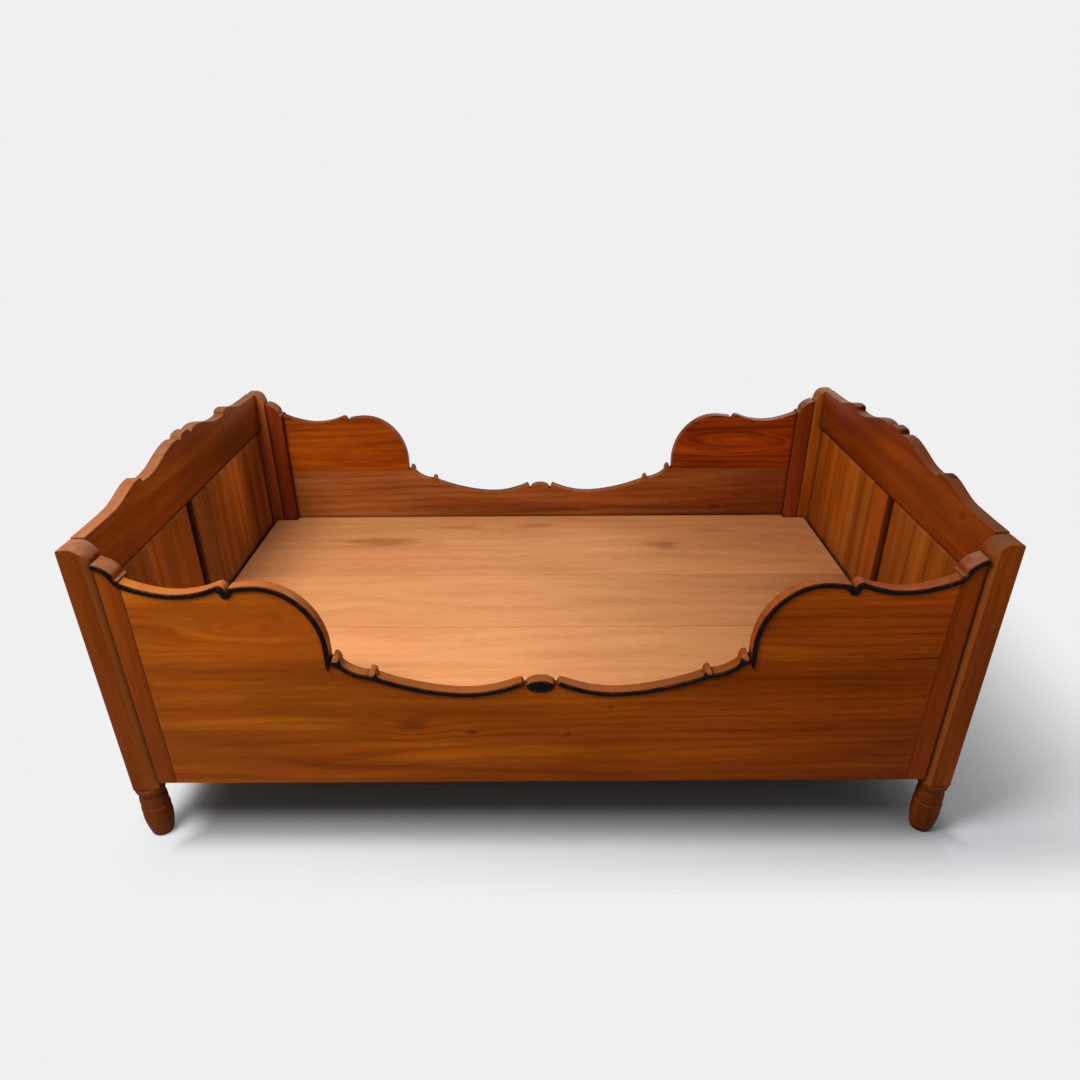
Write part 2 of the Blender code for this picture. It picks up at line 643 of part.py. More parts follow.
def ribbon_mesh(name, tops, bottoms, back, outward):
    """A half-round moulding between an upper and a lower edge line, flat on its back."""
    shares = (0.0, 0.26, 0.74, 1.0)
    rises = (0.45, 1.0, 1.0, 0.45)
    bm = bmesh.new()
    rings = []
    for (top_x, top_z), (low_x, low_z) in zip(tops, bottoms):
        ring = [bm.verts.new((top_x, back, top_z))]
        for share, rise in zip(shares, rises):
            front = back + outward * BEAD_DEPTH * rise
            ring.append(bm.verts.new((mix(top_x, low_x, share), front, mix(top_z, low_z, share))))
        ring.append(bm.verts.new((low_x, back, low_z)))
        rings.append(ring)
    for ring, following in zip(rings, rings[1:]):
        for i in range(len(ring)):
            j = (i + 1) % len(ring)
            bm.faces.new((ring[i], ring[j], following[j], following[i]))
    bm.faces.new(rings[0])
    bm.faces.new(list(reversed(rings[-1])))
    bmesh.ops.recalc_face_normals(bm, faces=bm.faces)
    mesh = bpy.data.meshes.new(name)
    bm.to_mesh(mesh)
    bm.free()
    return mesh


def inward_normals(points, inside):
    """Unit normals of a line of points, turned to the given side and smoothed along the line."""
    normals = []
    for i in range(len(points)):
        before, after = points[max(i - 1, 0)], points[min(i + 1, len(points) - 1)]
        direction = Vector((after[0] - before[0], after[1] - before[1])).normalized()
        normals.append(Vector((direction.y, -direction.x)) * inside)
    smooth = []
    for i in range(len(normals)):
        near = normals[max(i - 2, 0):i + 3]
        smooth.append(sum(near, Vector((0, 0))).normalized())
    return smooth


def bead(name, tops, bottoms, out, way):
    """An ebonised bead on the outer face of a side."""
    if way < 0:
        tops = [(-x, z) for x, z in tops]
        bottoms = [(-x, z) for x, z in bottoms]
    mesh = ribbon_mesh(name, tops, bottoms, out * (SIDE_OUT_Y + FIT), out)
    mesh.shade_smooth()
    mesh.set_sharp_from_angle(angle=math.radians(50))
    return add_object(name, mesh, material=EBONISED)


def upper_bead(side, out, end, way):
    """The bead of the high run, with a drop under the notch and a tail below the arc."""
    stations = high_run()
    tops = [edge for edge, base in stations]
    bases = [base for edge, base in stations]
    normals = inward_normals(bases, -1)
    blob_x = STILE_IN - UPPER_DIP_LENGTH - NOSE_WIDTH * 1.35
    high = POST_TOP - SHOULDER_DROP - ARC_HEIGHT / 2
    bottoms = []
    for base, normal in zip(bases, normals):
        near_blob = max(0.0, 1 - ((base[0] - blob_x) / BEAD_BLOB_R) ** 2) if base[1] > high else 0
        drop = BEAD_HEIGHT + BEAD_BLOB * math.sqrt(near_blob)
        bottoms.append((min(base[0] + normal.x * drop, STILE_OUT), base[1] + normal.y * drop))
    foot_z = tops[-1][1]
    tail_top = GLUE_LINE_Z + FIT
    for share, width in ((0.35, 0.95), (0.75, 0.75), (1.0, 0.45)):
        z = mix(tail_top, GLUE_LINE_Z - BEAD_TAIL, share)
        x = ARC_X + BEAD_HEIGHT * 0.65 * share * share
        tops.append((x, min(z, foot_z)))
        bottoms.append((ARC_X + BEAD_HEIGHT * mix(width, 1.0, 0.5), min(z, foot_z)))
    return bead(side + "_" + end + "_upper_bead", tops, bottoms, out, way)


def lower_bead(side, out, end, way):
    """The bead of the low run, from the nose at the centre over both knobs."""
    stations = low_run()
    tops = [edge for edge, base in stations]
    bases = [base for edge, base in stations]
    normals = inward_normals(bases, 1)
    bottoms = [(x + n.x * BEAD_HEIGHT, z + n.y * BEAD_HEIGHT) for (x, z), n in zip(bases, normals)]
    return bead(side + "_" + end + "_lower_bead", tops, bottoms, out, way)


def centre_oval(side, out):
    """A low oval boss at the middle of a side."""
    name = side + "_centre_oval"
    dome = ellipse_arc((0, 0), 1, 1, 90, 0, 5)
    mesh = turned_mesh(name, dome + [(0, 0)])
    mesh.transform(Matrix.Diagonal((OVAL_HALF_WIDTH, OVAL_HALF_HEIGHT, BEAD_DEPTH, 1)))
    mesh.shade_smooth()
    mesh.set_sharp_from_angle(angle=math.radians(50))
    place = (0, out * (SIDE_OUT_Y + FIT), CENTRE_NOSE_Z - OVAL_DROP)
    return add_object(name, mesh, place, (-out * math.pi / 2, 0, 0), EBONISED)


def crest_tenon_span():
    """Lowest and highest level of the crest rail's tenons."""
    return CREST_BOTTOM + RAIL_TENON_SHOULDER, POST_TOP - RAIL_TENON_SHOULDER


def rail_tenon_span():
    """Lowest and highest level of the bottom rail's tenons."""
    low = max(SIDE_BOTTOM + RAIL_TENON_SHOULDER, FOOT_HEIGHT + FOOT_TENON_L + RAIL_TENON_THICK)
    return low, BOTTOM_RAIL_TOP - RAIL_TENON_SHOULDER


def crest_edge():
    """Top edge of the crest from a post in to the middle of the end."""
    start = (POST_IN_Y - FIT, POST_TOP + CREST_FLAT_RISE)
    toe = (CREST_TOE_D, POST_TOP + 2 * CREST_FLAT_RISE)
    lip = (CREST_LIP_D, POST_TOP + CREST_LIP_RISE)
    step = (CREST_STEP_D, lip[1] - CREST_STEP)
    flank = (CREST_FLANK_D, POST_TOP + CREST_FLANK_RISE)
    swell = (CREST_SWELL_D, POST_TOP + CREST_SWELL_RISE)
    notch = (CREST_NOTCH_D, POST_TOP + CREST_NOTCH_RISE)
    knob_z = POST_TOP + CREST_KNOB_RISE
    hollow_z = POST_TOP + CREST_HOLLOW_RISE
    flat = bezier(start, (mix(start[0], toe[0], 0.5), start[1]),
                  (mix(start[0], toe[0], 0.8), mix(start[1], toe[1], 0.6)), toe, 3)
    rise = bezier(toe, (mix(toe[0], lip[0], 0.37), toe[1] + 0.0025), (mix(toe[0], lip[0], 0.71), lip[1]),
                  lip, 9)
    tip = bezier(lip, (mix(lip[0], step[0], 0.5), lip[1]), (step[0] + 0.002, lip[1] - 0.001),
                 (step[0] + 0.001, lip[1] - 0.5 * CREST_STEP), 4)
    hollow = bezier(step, (mix(step[0], flank[0], 0.16), hollow_z), (mix(step[0], flank[0], 0.62), hollow_z),
                    flank, 7)
    swelling = bezier(flank, (mix(flank[0], swell[0], 0.22), mix(flank[1], swell[1], 0.27)),
                      (mix(flank[0], swell[0], 0.70), swell[1]), swell, 7)
    fall = bezier(swell, (mix(swell[0], notch[0], 0.38), swell[1]),
                  (mix(swell[0], notch[0], 0.78), mix(swell[1], notch[1], 0.35)),
                  (notch[0] + 0.004, notch[1]), 4)
    knob = bezier((notch[0] - 0.0075, knob_z - 0.0040), (notch[0] - 0.013, knob_z - 0.0004),
                  (notch[0] - 0.022, knob_z), (0, knob_z), 4)
    knob_side = [(notch[0] - 0.002, notch[1]), (notch[0] - 0.0045, notch[1] + 0.0055)]
    return flat + rise[1:] + tip[1:] + hollow + swelling[1:] + fall[1:] + knob_side + knob


def crest_rail(end, way):
    """The wavy top rail of an end, tenoned into both posts and grooved below for the panels."""
    half = crest_edge()
    shoulder_d = POST_IN_Y - FIT
    outline = half + [(-d, z) for d, z in reversed(half[:-1])]
    outline += [(-shoulder_d, CREST_BOTTOM), (shoulder_d, CREST_BOTTOM)]
    name = end + "_crest_rail"
    mesh = outline_mesh(name, outline, RAIL_THICK)
    rail = add_object(name, mesh, (way * RAIL_MID_X, 0, 0), FACING_X, CHERRY)
    soften(rail)
    add_rail_tenons(rail, way, crest_tenon_span())
    cut_rail_groove(rail, way, CREST_BOTTOM, 1)
    return rail


def bottom_rail(end, way):
    """The low rail of an end, tenoned into both posts and grooved above for the panels."""
    shoulder_d = POST_IN_Y - FIT
    rail = add_box(end + "_bottom_rail", (way * RAIL_MID_X - RAIL_THICK / 2, -shoulder_d, SIDE_BOTTOM),
                   (way * RAIL_MID_X + RAIL_THICK / 2, shoulder_d, BOTTOM_RAIL_TOP), CHERRY_DARK)
    soften(rail)
    add_rail_tenons(rail, way, rail_tenon_span())
    cut_rail_groove(rail, way, BOTTOM_RAIL_TOP, -1)
    return rail


def add_rail_tenons(rail, way, span):
    """Tenons at both ends of a rail of an end."""
    half = RAIL_TENON_THICK / 2
    for side, out in SIDES.items():
        join_box(rail, side + "_tenon",
                 (way * RAIL_MID_X - half, out * (POST_IN_Y - RAIL_TENON_LENGTH / 2), span[0]),
                 (way * RAIL_MID_X + half, out * (POST_IN_Y + RAIL_TENON_LENGTH), span[1]))


def cut_rail_groove(rail, way, level, into):
    """A groove along a rail's edge at the given level, cut upwards (1) or downwards (-1)."""
    half = PANEL_TONGUE / 2 + FIT
    length = POST_IN_Y + RAIL_TENON_SHOULDER
    cut_box(rail, "groove", (way * TONGUE_MID_X - half, -length, level - into * GROOVE_DEPTH),
            (way * TONGUE_MID_X + half, length, level + into * GROOVE_DEPTH))


def muntin(end, way):
    """The centre upright of an end, tenoned into both rails and grooved for both panels."""
    half = MUNTIN_WIDTH / 2
    piece = add_box(end + "_muntin", (way * RAIL_MID_X - RAIL_THICK / 2, -half, BOTTOM_RAIL_TOP + FIT),
                    (way * RAIL_MID_X + RAIL_THICK / 2, half, CREST_BOTTOM - FIT), CHERRY_DARK)
    soften(piece)
    tenon_half = half - MUNTIN_TENON_SHOULDER
    join_box(piece, "tenons",
             (way * TONGUE_MID_X - PANEL_TONGUE / 2, -tenon_half, BOTTOM_RAIL_TOP - PANEL_REACH),
             (way * TONGUE_MID_X + PANEL_TONGUE / 2, tenon_half, CREST_BOTTOM + PANEL_REACH))
    groove = PANEL_TONGUE / 2 + FIT
    for side, out in SIDES.items():
        cut_box(piece, side + "_groove",
                (way * TONGUE_MID_X - groove, out * (half - GROOVE_DEPTH), BOTTOM_RAIL_TOP - GROOVE_DEPTH),
                (way * TONGUE_MID_X + groove, out * (half + GROOVE_DEPTH), CREST_BOTTOM + GROOVE_DEPTH))
    return piece


def end_panel(end, way, side, out):
    """A raised panel: bevelled on the inside, with a tongue all round in the grooves."""
    name = end + "_" + side + "_panel"
    near_d = MUNTIN_WIDTH / 2 - PANEL_REACH
    far_d = POST_IN_Y + PANEL_REACH
    low, high = BOTTOM_RAIL_TOP - PANEL_REACH, CREST_BOTTOM + PANEL_REACH
    bm = bmesh.new()
    bmesh.ops.create_cube(bm, size=1.0)
    bmesh.ops.scale(bm, vec=(PANEL_TONGUE, far_d - near_d, high - low), verts=bm.verts)
    bm.normal_update()
    inner = [face for face in bm.faces if face.normal.x * way < -0.9]
    bmesh.ops.inset_region(bm, faces=inner, use_even_offset=True, thickness=PANEL_REACH + FIT)
    bmesh.ops.inset_region(bm, faces=inner, use_even_offset=True, thickness=PANEL_BEVEL)
    for vert in inner[0].verts:
        vert.co.x -= way * (PANEL_THICK - PANEL_TONGUE)
    mesh = bpy.data.meshes.new(name)
    bm.to_mesh(mesh)
    bm.free()
    place = (way * TONGUE_MID_X, out * (near_d + far_d) / 2, (low + high) / 2)
    return add_object(name, mesh, place, material=CHERRY_DARK)


def ledger(side, out):
    """The strip inside a side that carries the slats."""
    reach = STILE_IN - LEDGER_END_GAP
    near, far = out * (SIDE_IN_Y - FIT), out * (SIDE_IN_Y - LEDGER_DEPTH)
    strip = add_box(side + "_ledger", (-reach, min(near, far), LEDGER_TOP - LEDGER_HEIGHT),
                    (reach, max(near, far), LEDGER_TOP), PINE)
    soften(strip, BOARD_EDGE)
    return strip


def slat(number, x):
    """A slat across the bed, lying on both ledgers."""
    reach = SIDE_IN_Y - 2 * FIT
    board = add_box("slat_" + str(number), (x - SLAT_WIDTH / 2, -reach, LEDGER_TOP + FIT),
                    (x + SLAT_WIDTH / 2, reach, SLAT_TOP), PINE)
    soften(board, BOARD_EDGE)
    return board


def base_board(name, low_y, high_y, notched):
    """A loose base board; the outer ones are notched round posts and stiles."""
    reach = RAIL_IN_X - BASE_CLEAR
    board = add_box(name, (-reach, low_y, BASE_BOTTOM), (reach, high_y, BASE_TOP), PLYWOOD)
    for out in notched:
        for end, way in ENDS.items():
            cut_box(board, end + "_notch",
                    (way * (STILE_IN - BASE_CLEAR), out * (POST_IN_Y - BASE_CLEAR), BASE_BOTTOM - BASE_THICK),
                    (way * HALF_L, out * HALF_W, BASE_TOP + BASE_THICK))
    soften(board)
    return board


def slot_floors():
    """Level of the floor of each slot in a keeper plate."""
    first = IRON_Z - HOOK_SPACING / 2 - SLOT_HEIGHT / 2
    return first, first + HOOK_SPACING


def post_keeper(side, out, end, way):
    """A slotted plate, let in flush with the post's inner face."""
    iron_y = out * (SIDE_OUT_Y - STILE_THICK / 2)
    near, far = way * POST_IN_X, way * (POST_IN_X + IRON_THICK)
    plate = add_box(side + "_" + end + "_post_keeper",
                    (min(near, far), iron_y - IRON_WIDTH / 2, IRON_LOW),
                    (max(near, far), iron_y + IRON_WIDTH / 2, IRON_HIGH), IRON)
    for number, slot_z in enumerate(slot_floors()):
        cut_box(plate, "slot_" + str(number + 1),
                (way * (POST_IN_X - IRON_THICK), iron_y - HOOK_THICK / 2 - FIT, slot_z),
                (way * (POST_IN_X + 2 * IRON_THICK), iron_y + HOOK_THICK / 2 + FIT, slot_z + SLOT_HEIGHT))
    return plate


def rail_hook(side, out, end, way):
    """A plate let into the stile's end, with two hooks that drop behind the keeper plate."""
    iron_y = out * (SIDE_OUT_Y - STILE_THICK / 2)
    near, far = way * STILE_OUT, way * (STILE_OUT - IRON_THICK)
    iron = add_box(side + "_" + end + "_rail_hook",
                   (min(near, far), iron_y - IRON_WIDTH / 2, IRON_LOW),
                   (max(near, far), iron_y + IRON_WIDTH / 2, IRON_HIGH), IRON)
    root = STILE_OUT - IRON_THICK / 2
    behind = POST_IN_X + IRON_THICK + FIT
    tip = behind + HOOK_NOSE_LENGTH
    for number, slot_z in enumerate(slot_floors()):
        under, over = slot_z + FIT, slot_z + HOOK_SHANK_H
        nose = slot_z - HOOK_NOSE_DROP
        outline = [(root, over), (root, under), (behind, under), (behind, nose),
                   (mix(behind, tip, 0.7), nose), (tip, mix(nose, under, 0.5)), (tip, mix(under, over, 0.6)),
                   (mix(behind, tip, 0.6), over)]
        name = iron.name + "_tongue_" + str(number + 1)
        mesh = outline_mesh(name, along(way, outline), HOOK_THICK)
        use_as_tool(iron, add_object(name, mesh, (0, iron_y, 0), FACING_Y), "UNION")
    return iron


def build_ends():
    """Rails, muntin and panels of both ends."""
    for end, way in ENDS.items():
        crest_rail(end, way)
        bottom_rail(end, way)
        muntin(end, way)
        for side, out in SIDES.items():
            end_panel(end, way, side, out)


def build_sides():
    """Both long sides with their beads and ledgers."""
    for side, out in SIDES.items():
        side_plank(side, out)
        centre_oval(side, out)
        ledger(side, out)
        for end, way in ENDS.items():
            shoulder(side, out, end, way)
            stile(side, out, end, way)
            upper_bead(side, out, end, way)
            lower_bead(side, out, end, way)


def build_corners():
    """Posts, feet and bed irons at the four corners."""
    for side, out in SIDES.items():
        for end, way in ENDS.items():
            corner_post(side, out, end, way)
            foot(side, out, end, way)
            post_keeper(side, out, end, way)
            rail_hook(side, out, end, way)


def build_base():
    """Slats and the three loose base boards."""
    for number in range(SLAT_COUNT):
        slat(number + 1, mix(-OUTER_SLAT_X, OUTER_SLAT_X, number / (SLAT_COUNT - 1)))
    reach = SIDE_IN_Y - BASE_CLEAR
    seam_front = -reach + FRONT_BOARD_WIDTH
    seam_back = seam_front + SEAM_GAP + MIDDLE_BOARD_WIDTH
    base_board("front_base_board", -reach, seam_front, (-1,))
    base_board("middle_base_board", seam_front + SEAM_GAP, seam_back, ())
    base_board("back_base_board", seam_back + SEAM_GAP, reach, (1,))


build_ends()
build_sides()
build_corners()
build_base()
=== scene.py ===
"""Looks of the wooden bed: polished cherry, ebonised beads and bare base boards on a pale studio floor."""

import json
import math

import bmesh
import bpy
from mathutils import Matrix, Vector


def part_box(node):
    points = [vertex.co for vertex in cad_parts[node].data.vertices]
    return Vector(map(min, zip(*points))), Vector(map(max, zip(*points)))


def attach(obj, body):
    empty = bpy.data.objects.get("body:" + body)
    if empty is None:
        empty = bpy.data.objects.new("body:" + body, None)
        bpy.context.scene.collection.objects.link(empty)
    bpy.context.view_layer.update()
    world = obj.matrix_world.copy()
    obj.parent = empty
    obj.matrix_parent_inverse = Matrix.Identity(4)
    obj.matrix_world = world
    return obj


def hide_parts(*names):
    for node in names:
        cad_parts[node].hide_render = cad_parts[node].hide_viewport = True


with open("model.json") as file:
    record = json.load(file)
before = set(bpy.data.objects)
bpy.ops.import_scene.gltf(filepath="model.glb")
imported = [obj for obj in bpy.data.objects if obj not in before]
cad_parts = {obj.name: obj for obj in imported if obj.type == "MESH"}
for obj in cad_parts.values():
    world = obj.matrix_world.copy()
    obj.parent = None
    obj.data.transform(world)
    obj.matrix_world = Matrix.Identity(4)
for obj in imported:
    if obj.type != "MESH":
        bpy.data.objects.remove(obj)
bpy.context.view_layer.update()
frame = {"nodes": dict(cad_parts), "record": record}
NODES = frame["nodes"]
BODY_OF = {node: body for body, nodes in frame["record"]["behaviour"]["bodies"].items() for node in nodes}

IMAGE_PIXELS = 1080
PAPER = "F0F0F0"
SIDES = ("front", "back")
ENDS = ("left", "right")
CORNERS = [side + "_" + end for side in SIDES for end in ENDS]
SLAT_COUNT = 6

# Middles of the knobs' heads, by their distance from the bed's middle and their height
KNOB_HEADS = ((0.4634, 0.546), (0.3848, 0.508))
KNOB_HEAD_MM = 10

# How far a panel reaches into its crest rail, and sizes of the work that is added here
PANEL_REACH = 0.010
POST_CHAMFER = 0.0125
EASED_MM = 1.6
EASED_MUNTIN_MM = 1.2
SCREW_COUNT = 8
SCREW_INSET = 0.07
SCREW_HEAD = 0.0045
SCREW_THICK_SHARE = 0.32

# Turns that bring the grain of a piece onto the X axis of its wood pattern
FLAT_SAWN_X = (0.0, 0.012, 0.035)
ALONG_Y = (0.0, 0.0, math.radians(-90))
ALONG_Z = (0.0, math.radians(90), 0.0)

# Places of a wood's three tones on its colour ramp
CHERRY_STOPS = (0.26, 0.50, 0.74)
PLYWOOD_STOPS = (0.30, 0.50, 0.70)
PINE_STOPS = (0.25, 0.55, 0.85)

# Spacing of a Wave texture's rings, in millimetres, where its scale is one
WAVE_MM = 314

# Sizes of the finishes' even patterns, in millimetres
HAND_RUB_MM = 26.32
BEAD_RUB_MM = 18.18
PINE_RING_MM = 9
PINE_FUR_MM = 2.381
RUST_BLOOM_MM = 7.692
CRACK_TIP_MM = 0.02

# How much noise moves the rim of an oval along each axis, in shares of the oval's size
KNOT_RAGGED = (1.2, 1.2, 1.2)
STAIN_RAGGED = (3.0, 3.0, 0.0)

# Distances in metres within which points or levels are one, and angles of a flat face and of an arris
SAME_POINT = 0.00001
SAME_TURNED_POINT = 0.00002
SAME_LEVEL = 0.001
FLAT_ANGLE = math.radians(0.4)
ARRIS_ANGLE = math.radians(40)

# Kinds of node that the finishes are made of, and the numbers of a Mix node's colour sockets
MATH = "ShaderNodeMath"
VECTOR = "ShaderNodeVectorMath"
SPLIT = "ShaderNodeSeparateXYZ"
JOIN = "ShaderNodeCombineXYZ"
RANGE = "ShaderNodeMapRange"
NOISE = "ShaderNodeTexNoise"
WAVE = "ShaderNodeTexWave"
RAMP = "ShaderNodeValToRGB"
CORNER_DEPTH = "ShaderNodeAmbientOcclusion"
RELIEF = "ShaderNodeBump"
MIX = "ShaderNodeMix"
MIX_A, MIX_B, MIXED = 6, 7, 2


def linear(hex_colour):
    """An sRGB colour such as "8A4A18" as linear red, green, blue and alpha."""
    channels = [int(hex_colour[i:i + 2], 16) / 255 for i in (0, 2, 4)]
    return [c / 12.92 if c <= 0.04045 else ((c + 0.055) / 1.055) ** 2.4 for c in channels] + [1.0]


def set_inputs(tree, node, inputs):
    """Values and links for a node's inputs, where a node stands for its own first output."""
    for socket, value in inputs.items():
        if isinstance(value, bpy.types.Node):
            value = value.outputs[0]
        if isinstance(value, bpy.types.NodeSocket):
            tree.links.new(value, node.inputs[socket])
        else:
            node.inputs[socket].default_value = value


def add_node(tree, kind, inputs=None, **settings):
    """A node with its settings, its input values and its incoming links."""
    node = tree.nodes.new(kind)
    for name, value in settings.items():
        setattr(node, name, value)
    set_inputs(tree, node, inputs or {})
    return node


def new_material(name):
    """A new material, its node tree, its Principled shader and the place of the painted point."""
    material = bpy.data.materials.new(name)
    material.use_nodes = True
    tree = material.node_tree
    place = add_node(tree, "ShaderNodeTexCoord").outputs["Object"]
    return material, tree, tree.nodes["Principled BSDF"], place


def set_ramp(ramp, places, hex_colours):
    """Three colours at their places on a Color Ramp node, which starts with two."""
    elements = ramp.color_ramp.elements
    elements.new(0.5)
    for element, place, hex_colour in zip(elements, places, hex_colours):
        element.position = place
        element.color = linear(hex_colour)


def grain_noise(tree, place, long_mm, wide_mm, detail, rough=0.5):
    """Noise in cells of a real length along the grain, which runs along X, and a real width across it."""
    per_metre = (1000 / long_mm, 1000 / wide_mm, 1000 / wide_mm)
    cells = add_node(tree, VECTOR, {0: place, 1: per_metre}, operation="MULTIPLY")
    return add_node(tree, NOISE, {"Vector": cells, "Scale": 1.0, "Detail": detail, "Roughness": rough})


def reach_in_oval(tree, place, middle, size_mm, noise=None, ragged=(0.0, 0.0, 0.0)):
    """How far a point lies from an oval's middle: one on its rim, which noise can make ragged. An axis of
    no size isn't measured."""
    away = add_node(tree, VECTOR, {0: place, 1: middle}, operation="SUBTRACT")
    per_size = [1000 / size if size else 0.0 for size in size_mm]
    oval = add_node(tree, VECTOR, {0: away, 1: per_size}, operation="MULTIPLY")
    if noise is not None:
        torn = add_node(tree, VECTOR, {0: noise.outputs["Color"], 1: ragged, 2: oval},
                        operation="MULTIPLY_ADD")
        oval = add_node(tree, VECTOR, {0: torn, 1: [share / 2 for share in ragged]}, operation="SUBTRACT")
    return add_node(tree, VECTOR, {0: oval}, operation="LENGTH").outputs["Value"]


def bent_fibres(tree, along):
    """Places in straight wood moved as its fibres wander, by a centimetre or two over a metre of board, and
    the slow and the quick noise that move them."""
    slow = grain_noise(tree, along, long_mm=1111, wide_mm=285.7, detail=2.0)
    bent = add_node(tree, VECTOR, {0: slow.outputs["Color"], 1: (0.0, 0.05, 0.07), 2: along},
                    operation="MULTIPLY_ADD")
    quick = grain_noise(tree, along, long_mm=200, wide_mm=29.41, detail=2.0)
    bent = add_node(tree, VECTOR, {0: quick.outputs["Color"], 1: (0.0, 0.006, 0.006), 2: bent},
                    operation="MULTIPLY_ADD")
    return bent, slow, quick


def pushed_by_knots(tree, place, bent, noise, knots):
    """Knots and flames push the rings aside, and a knot also leaves a dark eye. Each is given by its
    middle, its size, how far it pushes and how dark its eye is."""
    eye = 0.0
    for middle, size_mm, push_mm, eye_share in knots:
        far = reach_in_oval(tree, place, middle, size_mm, noise, KNOT_RAGGED)
        push = add_node(tree, RANGE, {"Value": far, "From Min": 0.0, "From Max": 4.0,
                                      "To Min": push_mm / 1000, "To Max": 0.0},
                        interpolation_type="SMOOTHERSTEP")
        lift = add_node(tree, JOIN, {"Z": push})
        bent = add_node(tree, VECTOR, {0: bent, 1: lift}, operation="ADD")
        core = add_node(tree, RANGE, {"Value": far, "From Min": 0.1, "From Max": 1.5, "To Min": eye_share,
                                      "To Max": 0.0}, interpolation_type="SMOOTHSTEP")
        eye = add_node(tree, MATH, {0: eye, 1: core}, operation="MAXIMUM")
    return bent, eye


def ring_tone(tree, bent, slow, ring_mm, ring_share):
    """Growth rings, clear in some places and lost in others, under broad streaks, narrow streaks and
    fibres. The fibres are drawn coarser than real ones so that they show."""
    rings = add_node(tree, WAVE, {"Vector": bent, "Scale": WAVE_MM / ring_mm, "Distortion": 0.0},
                     wave_type="RINGS", rings_direction="X", wave_profile="SIN").outputs["Fac"]
    late = add_node(tree, RANGE, {"Value": rings, "From Min": 0.45, "From Max": 1.0, "To Min": 0.0,
                                  "To Max": -ring_share}, interpolation_type="SMOOTHSTEP")
    clear = add_node(tree, RANGE, {"Value": slow, "From Min": 0.42, "From Max": 0.62, "To Min": 0.15})
    tone = add_node(tree, MATH, {0: late, 1: clear}, operation="MULTIPLY")
    for long_mm, wide_mm, weight in ((1250, 52.63, 0.60), (384.6, 11.765, 0.24), (90.91, 2.381, 0.24)):
        fibres = grain_noise(tree, bent, long_mm, wide_mm, detail=3.0)
        centred = add_node(tree, MATH, {0: fibres, 1: 0.5}, operation="SUBTRACT")
        tone = add_node(tree, MATH, {0: centred, 1: weight, 2: tone}, operation="MULTIPLY_ADD")
    return add_node(tree, MATH, {0: tone, 1: 0.5}, operation="ADD"), fibres


def rubbed_by_hands(tree, place, facing, wear):
    """Upper faces and arrises are rubbed pale by hands, in uneven patches. The pale arrises are also
    painted highlights, where edges catch the light.
    """
    up = add_node(tree, SPLIT, {0: facing}).outputs["Z"]
    upper = add_node(tree, RANGE, {"Value": up, "From Min": 0.20, "From Max": 0.75, "To Max": wear},
                     interpolation_type="SMOOTHSTEP")
    depth = add_node(tree, CORNER_DEPTH, {"Distance": 0.004}, samples=6, inside=True, only_local=True)
    arris = add_node(tree, RANGE, {"Value": depth.outputs["AO"], "From Min": 0.30, "From Max": 0.80,
                                   "To Min": 0.55 * wear + 0.1, "To Max": 0.0})
    handled = add_node(tree, MATH, {0: upper, 1: arris}, operation="MAXIMUM")
    rub = add_node(tree, NOISE, {"Vector": place, "Scale": 1000 / HAND_RUB_MM, "Detail": 4.0,
                                 "Roughness": 0.65})
    patchy = add_node(tree, RANGE, {"Value": rub, "From Min": 0.34, "From Max": 0.62, "To Min": 0.30})
    return add_node(tree, MATH, {0: handled, 1: patchy}, operation="MULTIPLY")


def dirty_lower_edge(tree, place, colour, edge_z, edge_shade_left):
    """A rail's lower edge gets a painted line of shade, where only a share of the colour is left."""
    height = add_node(tree, SPLIT, {0: place}).outputs["Z"]
    clean = add_node(tree, RANGE, {"Value": height, "From Min": edge_z + 0.003, "From Max": edge_z + 0.011,
                                   "To Min": edge_shade_left})
    return add_node(tree, VECTOR, {0: colour, 1: clean}, operation="MULTIPLY")


def dirty_sides(tree, place, colour, low_y, high_y):
    """A muntin's margins beside the panels are half as bright as its middle."""
    sideways = add_node(tree, SPLIT, {0: place}).outputs["Y"]
    off = add_node(tree, MATH, {0: sideways, 1: (low_y + high_y) / 2}, operation="SUBTRACT")
    off = add_node(tree, MATH, {0: off}, operation="ABSOLUTE")
    half = (high_y - low_y) / 2
    clean = add_node(tree, RANGE, {"Value": off, "From Min": half - 0.011, "From Max": half - 0.006,
                                   "To Min": 1.0, "To Max": 0.50})
    return add_node(tree, VECTOR, {0: colour, 1: clean}, operation="MULTIPLY")


def open_crack(tree, place, colour, from_x, from_z, to_x, to_z, widest_mm):
    """A crack in a front face that opens towards one end, as a thin dark wedge."""
    parts = add_node(tree, SPLIT, {0: place}).outputs
    reach = {"Value": parts["X"], "From Min": from_x, "From Max": to_x}
    level = add_node(tree, RANGE, {**reach, "To Min": from_z, "To Max": to_z})
    half = add_node(tree, RANGE, {**reach, "To Min": CRACK_TIP_MM / 2000, "To Max": widest_mm / 2000})
    off = add_node(tree, MATH, {0: parts["Z"], 1: level}, operation="SUBTRACT")
    off = add_node(tree, MATH, {0: off}, operation="ABSOLUTE")
    share = add_node(tree, MATH, {0: off, 1: half}, operation="DIVIDE")
    dark = add_node(tree, RANGE, {"Value": share, "From Min": 0.5, "From Max": 1.2, "To Min": 1.0,
                                  "To Max": 0.0})
    return add_node(tree, MIX, {"Factor": dark, MIX_A: colour, MIX_B: linear("1A0A03")},
                    data_type="RGBA").outputs[MIXED]


